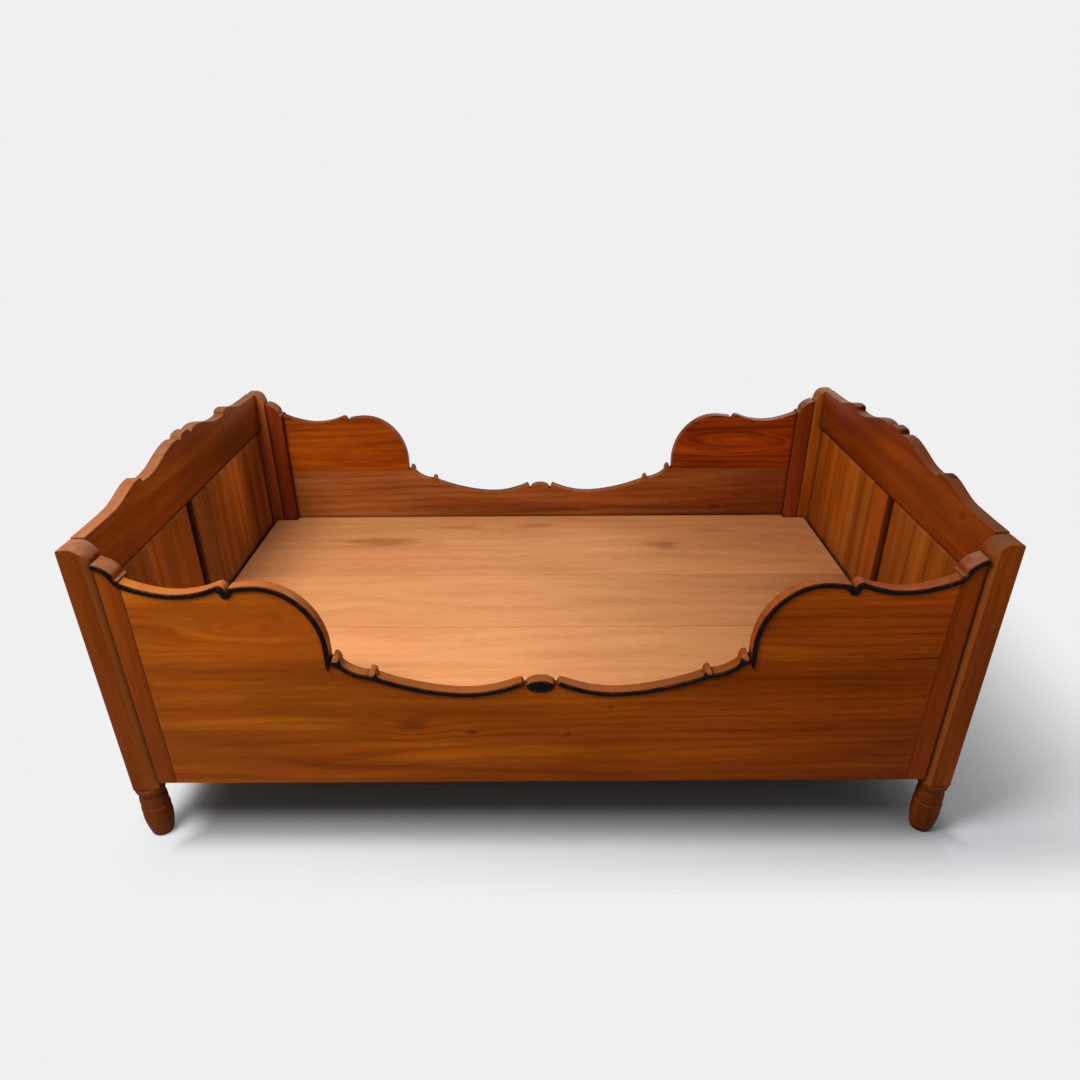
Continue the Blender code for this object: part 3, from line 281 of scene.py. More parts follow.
def dark_stain(tree, place, colour, middle, size_mm, share):
    """A soft oval mark on the wood, near black in its middle."""
    far = reach_in_oval(tree, place, middle, size_mm)
    mark = add_node(tree, RANGE, {"Value": far, "From Min": 0.5, "From Max": 1.1, "To Min": share,
                                  "To Max": 0.0}, interpolation_type="SMOOTHSTEP")
    return add_node(tree, MIX, {"Factor": mark, MIX_A: colour, MIX_B: linear("1A0B04")},
                    data_type="RGBA").outputs[MIXED]


def pale_chamfer(tree, facing, colour, chamfer_lit_tone):
    """A chamfer, which faces half along X and half along Y, is painted a paler tone: painted light on a
    face that lies in shade.
    """
    ways = add_node(tree, SPLIT, {0: facing}).outputs
    both = add_node(tree, MATH, {0: ways["X"], 1: ways["Y"]}, operation="MULTIPLY")
    slant = add_node(tree, MATH, {0: both}, operation="ABSOLUTE")
    share = add_node(tree, RANGE, {"Value": slant, "From Min": 0.25, "From Max": 0.45, "To Max": 0.8})
    return add_node(tree, MIX, {"Factor": share, MIX_A: colour, MIX_B: linear(chamfer_lit_tone)},
                    data_type="RGBA").outputs[MIXED]


def cherry(name, grain, shift, tones, right_tones=None, right_lit_rise=1.0, worn="98622F", right_shaded_worn=None,
           wear=0.5, rough=0.42, ring_mm=22.0, ring_share=0.12, patch_share=0.21, wax_and_shade_left=0.14, wax_and_shade_mm=16,
           edge_shade_z=None, edge_shade_left=0.15, dark_margin_y=None, chamfer_lit_tone=None, knots=(), cracks=(), stains=()):
    """Old cherry, planed, shellacked and waxed. The eye sees long soft streaks with faint arched rings,
    fine fibre lines, a satin sheen, pale rubbed edges, partly painted highlights, and dark wax with painted
    shade in the joints."""
    material, tree, shader, place = new_material(name)
    along = add_node(tree, "ShaderNodeMapping", {"Vector": place, "Rotation": grain, "Location": shift})
    bent, slow, quick = bent_fibres(tree, along)
    bent, eye = pushed_by_knots(tree, place, bent, quick, knots)
    tone, fibres = ring_tone(tree, bent, slow, ring_mm, ring_share)
    colour = add_node(tree, RAMP, {"Fac": tone})
    set_ramp(colour, CHERRY_STOPS, tones)
    worn_colour = linear(worn)

    # A long board runs over to other tones at its right end, partly its own tone and partly a painted
    # fall-off of the light; there it can grow paler with height, as painted light from above.
    if right_tones is not None:
        right_ramp = add_node(tree, RAMP, {"Fac": tone})
        set_ramp(right_ramp, CHERRY_STOPS, right_tones)
        spot = add_node(tree, SPLIT, {0: place}).outputs
        rise = add_node(tree, RANGE, {"Value": spot["Z"], "From Min": 0.34, "From Max": 0.66,
                                      "To Min": 1.0, "To Max": right_lit_rise})
        risen = add_node(tree, VECTOR, {0: right_ramp, 1: rise}, operation="MULTIPLY")
        share = add_node(tree, RANGE, {"Value": spot["X"], "From Min": -0.9, "From Max": 0.9})
        colour = add_node(tree, MIX, {"Factor": share, MIX_A: colour, MIX_B: risen},
                          data_type="RGBA").outputs[MIXED]
        right_colour = linear(right_shaded_worn or worn)
        worn_colour = add_node(tree, MIX, {"Factor": share, MIX_A: worn_colour, MIX_B: right_colour},
                               data_type="RGBA").outputs[MIXED]

    # Patches of deeper and paler wood, a hand or two across
    patches = grain_noise(tree, along, long_mm=512.8, wide_mm=153.8, detail=1.0)
    patch = add_node(tree, RANGE, {"Value": patches, "From Min": 0.3, "From Max": 0.7,
                                   "To Min": 1.0 - patch_share, "To Max": 1.0 + patch_share})
    colour = add_node(tree, VECTOR, {0: colour, 1: patch}, operation="MULTIPLY")
    if knots:
        colour = add_node(tree, MIX, {"Factor": eye, MIX_A: colour, MIX_B: linear("3A1003")},
                          data_type="RGBA").outputs[MIXED]
    for crack in cracks:
        colour = open_crack(tree, place, colour, *crack)
    if edge_shade_z is not None:
        colour = dirty_lower_edge(tree, place, colour, edge_shade_z, edge_shade_left)
    if dark_margin_y is not None:
        colour = dirty_sides(tree, place, colour, *dark_margin_y)

    # Rubbed wood, then the stains that lie on it, then the chamfer's painted light
    facing = add_node(tree, "ShaderNodeNewGeometry").outputs["Normal"]
    bare = rubbed_by_hands(tree, place, facing, wear)
    colour = add_node(tree, MIX, {"Factor": bare, MIX_A: colour, MIX_B: worn_colour},
                      data_type="RGBA").outputs[MIXED]
    for stain in stains:
        colour = dark_stain(tree, place, colour, *stain)
    if chamfer_lit_tone is not None:
        colour = pale_chamfer(tree, facing, colour, chamfer_lit_tone)

    # Corners and joints are darkened by how deep they lie: dark wax, and painted shade
    hollow = add_node(tree, CORNER_DEPTH, {"Distance": wax_and_shade_mm / 1000}, samples=6).outputs["AO"]
    clean = add_node(tree, RANGE, {"Value": hollow, "From Min": 0.35, "From Max": 0.90, "To Min": wax_and_shade_left})
    colour = add_node(tree, VECTOR, {0: colour, 1: clean}, operation="MULTIPLY")

    # Worn wood is duller than the shellac
    dull = add_node(tree, RANGE, {"Value": fibres, "To Min": rough - 0.07, "To Max": rough + 0.13})
    duller = add_node(tree, MATH, {0: bare, 1: 0.18, 2: dull}, operation="MULTIPLY_ADD")
    relief = add_node(tree, RELIEF, {"Height": fibres, "Strength": 0.10, "Distance": 0.0008})
    set_inputs(tree, shader, {"Base Color": colour, "Roughness": duller, "Normal": relief, "IOR": 1.50,
                              "Specular IOR Level": 0.06, "Specular Tint": linear("FFA860")})
    return material


def plywood(name, shift, tones, right_shade_tint, stains=()):
    """Rotary-cut plywood, bare. The eye sees a pale pinkish tan with faint long figure, a few darker
    stains, painted shade towards its right end and near the parts beside it, and hardly any sheen."""
    material, tree, shader, place = new_material(name)
    moved = add_node(tree, VECTOR, {0: place, 1: shift}, operation="ADD")
    slow = grain_noise(tree, moved, long_mm=666.7, wide_mm=166.7, detail=2.0)
    bent = add_node(tree, VECTOR, {0: slow.outputs["Color"], 1: (0.0, 0.14, 0.0), 2: moved},
                    operation="MULTIPLY_ADD")
    figure = grain_noise(tree, bent, long_mm=454.5, wide_mm=38.46, detail=4.0)
    flecks = grain_noise(tree, bent, long_mm=45.45, wide_mm=3.846, detail=3.0)
    fleck_part = add_node(tree, MATH, {0: flecks, 1: 0.45}, operation="MULTIPLY")
    tone = add_node(tree, MATH, {0: figure, 1: 0.55, 2: fleck_part}, operation="MULTIPLY_ADD")
    ramp = add_node(tree, RAMP, {"Fac": tone})
    set_ramp(ramp, PLYWOOD_STOPS, tones)

    # Painted shade, a fall-off of the light, darkens the right half
    sideways = add_node(tree, SPLIT, {0: place}).outputs["X"]
    share = add_node(tree, RANGE, {"Value": sideways, "From Min": -0.1, "From Max": 0.95})
    right_falloff = add_node(tree, MIX, {"Factor": share, MIX_A: linear("FFFFFF"), MIX_B: linear(right_shade_tint)},
                    data_type="RGBA").outputs[MIXED]
    colour = add_node(tree, VECTOR, {0: ramp, 1: right_falloff}, operation="MULTIPLY")

    # Old water and dirt marks with ragged edges, where the photo has them
    cloud = grain_noise(tree, moved, long_mm=100, wide_mm=29.41, detail=5.0, rough=0.6)
    for middle_x, middle_y, long_mm, wide_mm, strength in stains:
        middle, size_mm = (middle_x, middle_y, 0.0), (long_mm, wide_mm, 0)
        far = reach_in_oval(tree, place, middle, size_mm, cloud, STAIN_RAGGED)
        mark = add_node(tree, RANGE, {"Value": far, "From Min": 0.1, "From Max": 1.4, "To Min": strength,
                                      "To Max": 0.0}, interpolation_type="SMOOTHSTEP")
        colour = add_node(tree, MIX, {"Factor": mark, MIX_A: colour, MIX_B: linear("8A5128")},
                          data_type="RGBA").outputs[MIXED]
    # Painted shade darkens the boards near the parts that stand on and beside them
    hollow = add_node(tree, CORNER_DEPTH, {"Distance": 0.020}, samples=6).outputs["AO"]
    clean = add_node(tree, RANGE, {"Value": hollow, "From Min": 0.25, "From Max": 0.75, "To Min": 0.15})
    colour = add_node(tree, VECTOR, {0: colour, 1: clean}, operation="MULTIPLY")
    relief = add_node(tree, RELIEF, {"Height": flecks, "Strength": 0.12, "Distance": 0.001})
    set_inputs(tree, shader, {"Base Color": colour, "Normal": relief, "Roughness": 0.72, "IOR": 1.48,
                              "Specular IOR Level": 0.25})
    return material


def ebonised(name):
    """Pear wood stained black and polished. The eye sees a deep brown black with small bright glints,
    rubbed through to brown here and there."""
    material, tree, shader, place = new_material(name)
    rub = add_node(tree, NOISE, {"Vector": place, "Scale": 1000 / BEAD_RUB_MM, "Detail": 4.0,
                                 "Roughness": 0.7})
    facing = add_node(tree, "ShaderNodeNewGeometry").outputs["Normal"]
    up = add_node(tree, SPLIT, {0: facing}).outputs["Z"]
    spots = add_node(tree, MATH, {0: up, 1: 0.30, 2: rub}, operation="MULTIPLY_ADD")
    worn = add_node(tree, RANGE, {"Value": spots, "From Min": 0.58, "From Max": 0.76, "To Max": 0.9})
    colour = add_node(tree, MIX, {"Factor": worn, MIX_A: linear("0A0503"), MIX_B: linear("3C1A09")},
                      data_type="RGBA").outputs[MIXED]

    # The black stops short of the knobs' heads, which show the brown wood
    mirrored = add_node(tree, VECTOR, {0: place}, operation="ABSOLUTE")
    for head_x, head_z in KNOB_HEADS:
        far = reach_in_oval(tree, mirrored, (head_x, 0.0, head_z), (KNOB_HEAD_MM, 0, KNOB_HEAD_MM))
        head = add_node(tree, RANGE, {"Value": far, "From Min": 0.90, "From Max": 1.15, "To Min": 1.0,
                                      "To Max": 0.0})
        colour = add_node(tree, MIX, {"Factor": head, MIX_A: colour, MIX_B: linear("96562F")},
                          data_type="RGBA").outputs[MIXED]
    rough = add_node(tree, RANGE, {"Value": rub, "To Min": 0.22, "To Max": 0.5})
    relief = add_node(tree, RELIEF, {"Height": rub, "Strength": 0.2, "Distance": 0.001})
    set_inputs(tree, shader, {"Base Color": colour, "Roughness": rough, "Normal": relief, "IOR": 1.50,
                              "Specular IOR Level": 0.05})
    return material


def pine(name, grain, shift):
    """Sawn pine. The eye sees pale yellow wood with reddish lines and a furry, dull surface. The fur is
    drawn coarser than real fur so that it shows."""
    material, tree, shader, place = new_material(name)
    along = add_node(tree, "ShaderNodeMapping", {"Vector": place, "Rotation": grain, "Location": shift})
    slow = grain_noise(tree, along, long_mm=625, wide_mm=111.1, detail=3.0)
    bent = add_node(tree, VECTOR, {0: slow.outputs["Color"], 1: (0.0, 0.04, 0.04), 2: along},
                    operation="MULTIPLY_ADD")
    lines = add_node(tree, WAVE, {"Vector": bent, "Scale": WAVE_MM / PINE_RING_MM, "Distortion": 0.0},
                     wave_type="RINGS", rings_direction="X", wave_profile="SAW").outputs["Fac"]
    fibres = grain_noise(tree, bent, long_mm=166.7, wide_mm=4.762, detail=3.0)
    line_part = add_node(tree, MATH, {0: lines, 1: 0.45}, operation="MULTIPLY")
    tone = add_node(tree, MATH, {0: fibres, 1: 0.70, 2: line_part}, operation="MULTIPLY_ADD")
    ramp = add_node(tree, RAMP, {"Fac": tone})
    set_ramp(ramp, PINE_STOPS, ("D2A768", "C0904F", "A46D36"))
    fur = add_node(tree, NOISE, {"Vector": place, "Scale": 1000 / PINE_FUR_MM, "Detail": 2.0})
    relief = add_node(tree, RELIEF, {"Height": fur, "Strength": 0.25, "Distance": 0.001})
    set_inputs(tree, shader, {"Base Color": ramp, "Normal": relief, "Roughness": 0.8})
    return material


def forged_iron(name, base, rust):
    """Forged iron, oiled and rusty. The eye sees dark grey metal with brown bloom and soft dents."""
    material, tree, shader, place = new_material(name)
    bloom = add_node(tree, NOISE, {"Vector": place, "Scale": 1000 / RUST_BLOOM_MM, "Detail": 5.0,
                                   "Roughness": 0.7})
    share = add_node(tree, RANGE, {"Value": bloom, "From Min": 0.45, "From Max": 0.65})
    colour = add_node(tree, MIX, {"Factor": share, MIX_A: linear(base), MIX_B: linear(rust)},
                      data_type="RGBA").outputs[MIXED]
    metal = add_node(tree, RANGE, {"Value": share, "To Min": 1.0, "To Max": 0.3})
    rough = add_node(tree, RANGE, {"Value": share, "To Min": 0.42, "To Max": 0.85})
    relief = add_node(tree, RELIEF, {"Height": bloom, "Strength": 0.3, "Distance": 0.001})
    set_inputs(tree, shader, {"Base Color": colour, "Metallic": metal, "Roughness": rough,
                              "Normal": relief})
    return material


def in_scene(name, data):
    """A new object of the scene, at the origin."""
    thing = bpy.data.objects.new(name, data)
    bpy.context.scene.collection.objects.link(thing)
    return thing


def seat(piece, node, material):
    """A finished piece gets its finish, takes the place and the body of its CAD node, and hides the node.
    """
    piece.data.materials.clear()
    piece.data.materials.append(material)
    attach(piece, BODY_OF[node])
    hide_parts(node)


def merged(node):
    """A copy of a CAD node's mesh with its triangles joined up."""
    bm = bmesh.new()
    bm.from_mesh(NODES[node].data)
    bmesh.ops.remove_doubles(bm, verts=bm.verts, dist=SAME_POINT)
    return bm


def finished(node, material, edge_mm=0.0, smooth_degrees=35, flush_z=None, chamfer=None):
    """A node's shape with flat faces made whole, edges eased as by sandpaper, and curves shaded smooth.
    Edges at the flush level meet a glued board, so they stay sharp. A chamfer is given by a point of its
    plane and the plane's outward way, and what lies beyond the plane is planed off."""
    bm = merged(node)
    if chamfer is not None:
        spot, outward = chamfer
        planed = bmesh.ops.bisect_plane(bm, geom=bm.verts[:] + bm.edges[:] + bm.faces[:], dist=SAME_POINT,
                                        plane_co=spot, plane_no=outward, clear_outer=True)
        rim = [item for item in planed["geom_cut"] if isinstance(item, bmesh.types.BMEdge)]
        bmesh.ops.holes_fill(bm, edges=rim)
    bmesh.ops.dissolve_limit(bm, angle_limit=FLAT_ANGLE, verts=bm.verts, edges=bm.edges)
    eased = bm.edges.layers.float.new("bevel_weight_edge")
    for edge in bm.edges:
        flush = flush_z is not None and all(abs(v.co.z - flush_z) < SAME_LEVEL for v in edge.verts)
        edge.smooth = not flush
        edge[eased] = float(not flush and edge.calc_face_angle(0.0) > ARRIS_ANGLE)
    for face in bm.faces:
        face.smooth = True
    mesh = bpy.data.meshes.new(node + "_finish")
    bm.to_mesh(mesh)
    bm.free()

    # The loose triangles' own normals would spoil the shading
    stored = mesh.attributes.get("custom_normal")
    if stored is not None:
        mesh.attributes.remove(stored)
    piece = in_scene(node + "_finish", mesh)
    if edge_mm:
        ease = piece.modifiers.new("eased_edges", "BEVEL")
        ease.width = edge_mm / 1000
        ease.segments = 2
        ease.limit_method = "WEIGHT"
        ease.use_clamp_overlap = False
        ease.harden_normals = True
    else:
        mesh.set_sharp_from_angle(angle=math.radians(smooth_degrees))
        even = piece.modifiers.new("flat_faces_stay_flat", "WEIGHTED_NORMAL")
        even.keep_sharp = True
        even.weight = 100
    seat(piece, node, material)


def foot_profile(node, axis):
    """The CAD foot's own profile from its top down to its sole, as places along X and Z beside its axis."""
    bm = merged(node)
    rim = [v for v in bm.verts
           if abs(v.co.y - axis.y) < SAME_TURNED_POINT and v.co.x > axis.x - SAME_TURNED_POINT]
    order = [max(rim, key=lambda v: v.co.z)]
    while True:
        ahead = [edge.other_vert(order[-1]) for edge in order[-1].link_edges]
        fresh = [v for v in ahead if v in rim and v not in order]
        if not fresh:
            break
        order.append(fresh[0])
    profile = [(v.co.x, v.co.z) for v in order]
    bm.free()
    return profile


def turned_foot(node, material, steps=56, sharp_degrees=50):
    """The CAD foot's own profile, turned again with a finer step."""
    low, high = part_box(node)
    axis = Vector(((low.x + high.x) / 2, (low.y + high.y) / 2, 0))
    profile = [(axis.x, high.z)] + foot_profile(node, axis) + [(axis.x, low.z)]
    bm = bmesh.new()
    verts = [bm.verts.new((x, axis.y, z)) for x, z in profile]
    edges = [bm.edges.new(pair) for pair in zip(verts, verts[1:])]
    bmesh.ops.spin(bm, geom=verts + edges, cent=axis, axis=(0, 0, 1), angle=math.tau, steps=steps)
    bmesh.ops.remove_doubles(bm, verts=bm.verts, dist=SAME_TURNED_POINT)
    bmesh.ops.recalc_face_normals(bm, faces=bm.faces)
    mesh = bpy.data.meshes.new(node + "_finish")
    bm.to_mesh(mesh)
    bm.free()
    mesh.shade_smooth()
    mesh.set_sharp_from_angle(angle=math.radians(sharp_degrees))
    seat(in_scene(node + "_finish", mesh), node, material)


def post_chamfer(side, end):
    """The plane of a post's chamfer, on its edge towards the side board, up through the rolled top."""
    low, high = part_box(side + "_" + end + "_post")
    way, inner_x = (1, high.x) if end == "left" else (-1, low.x)
    out, outer_y = (-1, low.y) if side == "front" else (1, high.y)
    return Vector((inner_x - way * POST_CHAMFER, outer_y, 0.0)), Vector((way, out, 0.0)).normalized()


def repaint(node, material):
    """A CAD node that keeps its own mesh gets its finish."""
    slots = NODES[node].data.materials
    slots.clear()
    slots.append(material)


def screw_tree(material):
    """Geometry nodes for a row of slotted screw heads along X, each turned its own way."""
    tree = bpy.data.node_groups.new("screw_row", "GeometryNodeTree")
    tree.interface.new_socket("Geometry", in_out="OUTPUT", socket_type="NodeSocketGeometry")
    for name, kind in (("Count", "Int"), ("Start", "Vector"), ("Step", "Vector"), ("Head Radius", "Float"),
                       ("Turn", "Vector")):
        tree.interface.new_socket(name, in_out="INPUT", socket_type="NodeSocket" + kind)
    given = add_node(tree, "NodeGroupInput").outputs
    row = add_node(tree, "GeometryNodeMeshLine", {"Count": given["Count"], "Start Location": given["Start"],
                                                  "Offset": given["Step"]}, mode="OFFSET")
    thick, top, slot_long, slot_wide = [
        add_node(tree, MATH, {0: given["Head Radius"], 1: share}, operation="MULTIPLY")
        for share in (SCREW_THICK_SHARE, 0.80, 2.4, 0.24)]
    head = add_node(tree, "GeometryNodeMeshCone", {"Vertices": 20, "Radius Top": top,
                                                   "Radius Bottom": given["Head Radius"], "Depth": thick})
    slot_size = add_node(tree, JOIN, {"X": slot_long, "Y": slot_wide, "Z": thick})
    bar = add_node(tree, "GeometryNodeMeshCube", {"Size": slot_size})
    lifted = add_node(tree, JOIN, {"Z": thick})
    raised = add_node(tree, "GeometryNodeTransform", {"Geometry": bar, "Translation": lifted})
    slotted = add_node(tree, "GeometryNodeMeshBoolean", {"Mesh 1": head, "Mesh 2": raised},
                       operation="DIFFERENCE", solver="EXACT")
    spin = add_node(tree, "FunctionNodeRandomValue", {"Min": (0.0, 0.0, 0.0), "Max": (0.0, 0.0, math.tau),
                                                      "Seed": 7}, data_type="FLOAT_VECTOR")
    twist = add_node(tree, "FunctionNodeEulerToRotation", {"Euler": spin})
    face = add_node(tree, "FunctionNodeEulerToRotation", {"Euler": given["Turn"]})
    both = add_node(tree, "FunctionNodeRotateRotation", {"Rotation": face, "Rotate By": twist},
                    rotation_space="LOCAL")
    heads = add_node(tree, "GeometryNodeInstanceOnPoints", {"Points": row, "Instance": slotted,
                                                            "Rotation": both})
    real = add_node(tree, "GeometryNodeRealizeInstances", {"Geometry": heads})
    painted = add_node(tree, "GeometryNodeSetMaterial", {"Geometry": real, "Material": material})
    add_node(tree, "NodeGroupOutput", {"Geometry": painted})
    return tree


def screw_row(name, tree, body, slot, **sizes):
    """One row of screws, made a plain mesh."""
    carrier = in_scene(name + "_row", bpy.data.meshes.new(name + "_row"))
    modifier = carrier.modifiers.new("screws", "NODES")
    modifier.node_group = tree
    for item in tree.interface.items_tree:
        if item.in_out == "INPUT":
            modifier[item.identifier] = sizes[item.name.lower().replace(" ", "_")]
    bpy.context.view_layer.update()
    evaluated = carrier.evaluated_get(bpy.context.evaluated_depsgraph_get())
    mesh = bpy.data.meshes.new_from_object(evaluated)
    mesh.name = name
    bpy.data.objects.remove(carrier)
    piece = in_scene(name, mesh)
    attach(piece, body)


def dress_sides():
    """Planks, shoulders, stiles, beads and ovals."""
    glue_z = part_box("front_right_shoulder")[0].z
    front_knots = (((-0.164, 0.0, 0.333), (13, 0, 7), 9, 0.75), ((0.065, 0.0, 0.326), (10, 0, 6), 8, 0.65),
                   ((0.164, 0.0, 0.405), (8, 0, 5), 6, 0.6), ((-0.304, 0.0, 0.355), (38, 0, 16), 16, 0.5),
                   ((-0.600, 0.0, 0.605), (95, 0, 16), 60, 0.0))
    back_knots = (((0.643, 0.0, 0.387), (20, 0, 9), 12, 0.7), ((0.718, 0.0, 0.435), (12, 0, 6), 8, 0.55))
    back_flames = (((0.690, 0.0, 0.632), (80, 0, 15), 70, 0.0), ((0.830, 0.0, 0.630), (36, 0, 9), 26, 0.2))
    cracks = ((0.700, glue_z - 0.009, 0.912, glue_z, 4.6), (0.640, 0.600, 0.900, 0.602, 1.6))
    front = cherry("cherry_front", FLAT_SAWN_X, (0.3, 0.56, -0.29), ("682A04", "8D440A", "AC6014"),
                   right_tones=("521E01", "732E02", "8C4307"), right_lit_rise=1.45, worn="905E32",
                   right_shaded_worn="5A3018", wear=0.7, ring_share=0.10, knots=front_knots, cracks=cracks)
    back = cherry("cherry_back_plank", FLAT_SAWN_X, (4.1, -0.68, -0.36), ("562410", "8A4B20", "A06436"),
                  right_tones=("4E1C0B", "7C3B18", "94562C"), worn="5C3418", wear=0.4, ring_share=0.06,
                  knots=back_knots)
    back_upper = cherry("cherry_back_shoulder", FLAT_SAWN_X, (2.9, -0.66, -0.64),
                        ("4E1B04", "823909", "A45612"), right_tones=("541904", "8A3406", "AE500C"),
                        worn="5C3418", wear=0.4, ring_mm=20.0, ring_share=0.14, knots=back_flames)
    black = ebonised("ebonised_pear")
    # Stile tones are matched one by one in the scene's light, so besides the wood's own tone they hold
    # painted light and shade
    stile_tones = {
        "front_left": ("4A1C02", "6E2E05", "87440B"), "front_right": ("501D01", "742D02", "8B4107"),
        "back_left": ("4A1806", "6C270B", "843C16"), "back_right": ("4E1905", "722A0A", "8A4016")}
    for side, lower, upper in (("front", front, front), ("back", back, back_upper)):
        finished(side + "_side_plank", lower, edge_mm=EASED_MM, flush_z=glue_z)
        finished(side + "_centre_oval", black, smooth_degrees=60)
        for end in ENDS:
            corner = side + "_" + end
            stile = cherry("cherry_" + corner + "_stile", ALONG_Z, (0.4, 0.31, 0.77), stile_tones[corner],
                           worn="7E5D46", wear=0.7, ring_share=0.05, wax_and_shade_left=0.40)
            finished(corner + "_shoulder", upper, edge_mm=EASED_MM, flush_z=glue_z)
            finished(corner + "_stile", stile, edge_mm=EASED_MM)
            finished(corner + "_upper_bead", black, smooth_degrees=60)
            finished(corner + "_lower_bead", black, smooth_degrees=60)


def dress_ends():
    """Posts, feet, crest rails, bottom rails, muntins and panels."""
    foot = cherry("cherry_foot", ALONG_Z, (2.2, 0.11, 0.23), ("3C1605", "5E290C", "763C18"), wear=0.25,
                  rough=0.55, ring_share=0.04)
    # The tone tables below are matched piece by piece in the scene's light, so besides the wood's own tones
    # they hold painted light where a piece stands in shade, as on the back posts and panels
    post_tones = {
        "front_left": ("481B04", "6C3008", "864414"), "front_right": ("562105", "7A3409", "924A14"),
        "back_left": ("58220F", "803E18", "98592E"), "back_right": ("682A0A", "984C14", "B0682C")}
    panel_tones = {
        "front_left": ("542408", "82420F", "9C5E28"), "front_right": ("4E1F03", "783A0B", "93521F"),
        "back_left": ("5E2A0C", "904C18", "AA6A30"), "back_right": ("5A2606", "8C4610", "A86228")}
    rail_tones = {"left": ("4C1E04", "743506", "8E4C12"), "right": ("471803", "6B2904", "853D0A")}
    muntin_tones = {"left": ("58290E", "80491C", "96602E"), "right": ("5A2306", "86400F", "9E5A22")}
    # Worn tones of the tops, paler at the left end and darker at the right: wear, and a painted fall-off of
    # the light from the left
    worn_post_tops_lit = {"left": "7F5B44", "right": "604127"}
    worn_crest_tops_lit = {"left": "7F5B44", "right": "583216"}
    # Paler tones for the posts' chamfers, painted light
    chamfer_lit_tones = {"left": "8A4A1E", "right": "7C4019"}

    # What is left of the colour in the painted shade along a crest's lower edge, its knots, and the dark
    # marks on its steps
    edge_shade_left = {"left": 0.15, "right": 0.45}
    crest_knots = {"left": (), "right": (((0.0, -0.43, 0.80), (0, 16, 9), 9, 0.5),)}
    crest_stains = {"left": (), "right": (((1.000, 0.286, 0.845), (16, 12, 10), 0.9),
                                          ((0.995, -0.025, 0.869), (18, 12, 10), 0.9),
                                          ((0.995, -0.308, 0.851), (18, 22, 9), 0.9))}
    for end in ENDS:
        lower_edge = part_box(end + "_front_panel")[1].z - PANEL_REACH
        crest = cherry("cherry_" + end + "_crest", ALONG_Y, (0.9, 0.33, -0.60), rail_tones[end],
                       worn=worn_crest_tops_lit[end], wear=0.8, ring_share=0.09, patch_share=0.30, wax_and_shade_left=0.10,
                       edge_shade_z=lower_edge, edge_shade_left=edge_shade_left[end], knots=crest_knots[end],
                       stains=crest_stains[end])
        rail = cherry("cherry_" + end + "_bottom_rail", ALONG_Y, (2.3, 0.47, -0.20), rail_tones[end],
                      ring_share=0.09, wax_and_shade_left=0.10)
        muntin_low, muntin_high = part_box(end + "_muntin")
        # The muntin's margins are darker, and its upper faces and arrises take a near-black tone, so that
        # its edges show as dark lines
        muntin = cherry("cherry_" + end + "_muntin", ALONG_Z, (5.2, 0.43, 0.61), muntin_tones[end],
                        worn="1C0A03", ring_share=0.05, wax_and_shade_left=0.20, dark_margin_y=(muntin_low.y, muntin_high.y))
        finished(end + "_crest_rail", crest)
        finished(end + "_muntin", muntin, edge_mm=EASED_MUNTIN_MM)
        finished(end + "_bottom_rail", rail, edge_mm=EASED_MM)
        for side in SIDES:
            corner = side + "_" + end
            post = cherry("cherry_" + corner + "_post", ALONG_Z, (1.3, 0.27, 0.31), post_tones[corner],
                          worn=worn_post_tops_lit[end], wear=0.9, ring_share=0.05, wax_and_shade_left=0.40,
                          chamfer_lit_tone=chamfer_lit_tones[end])
            panel = cherry("cherry_" + corner + "_panel", ALONG_Z, (3.1, 0.21, 0.17), panel_tones[corner],
                           ring_mm=30.0, ring_share=0.04, patch_share=0.32, wax_and_shade_left=0.25, wax_and_shade_mm=4)
            finished(corner + "_post", post, chamfer=post_chamfer(side, end))
            turned_foot(corner + "_foot", foot)
            finished(end + "_" + side + "_panel", panel, smooth_degrees=4)


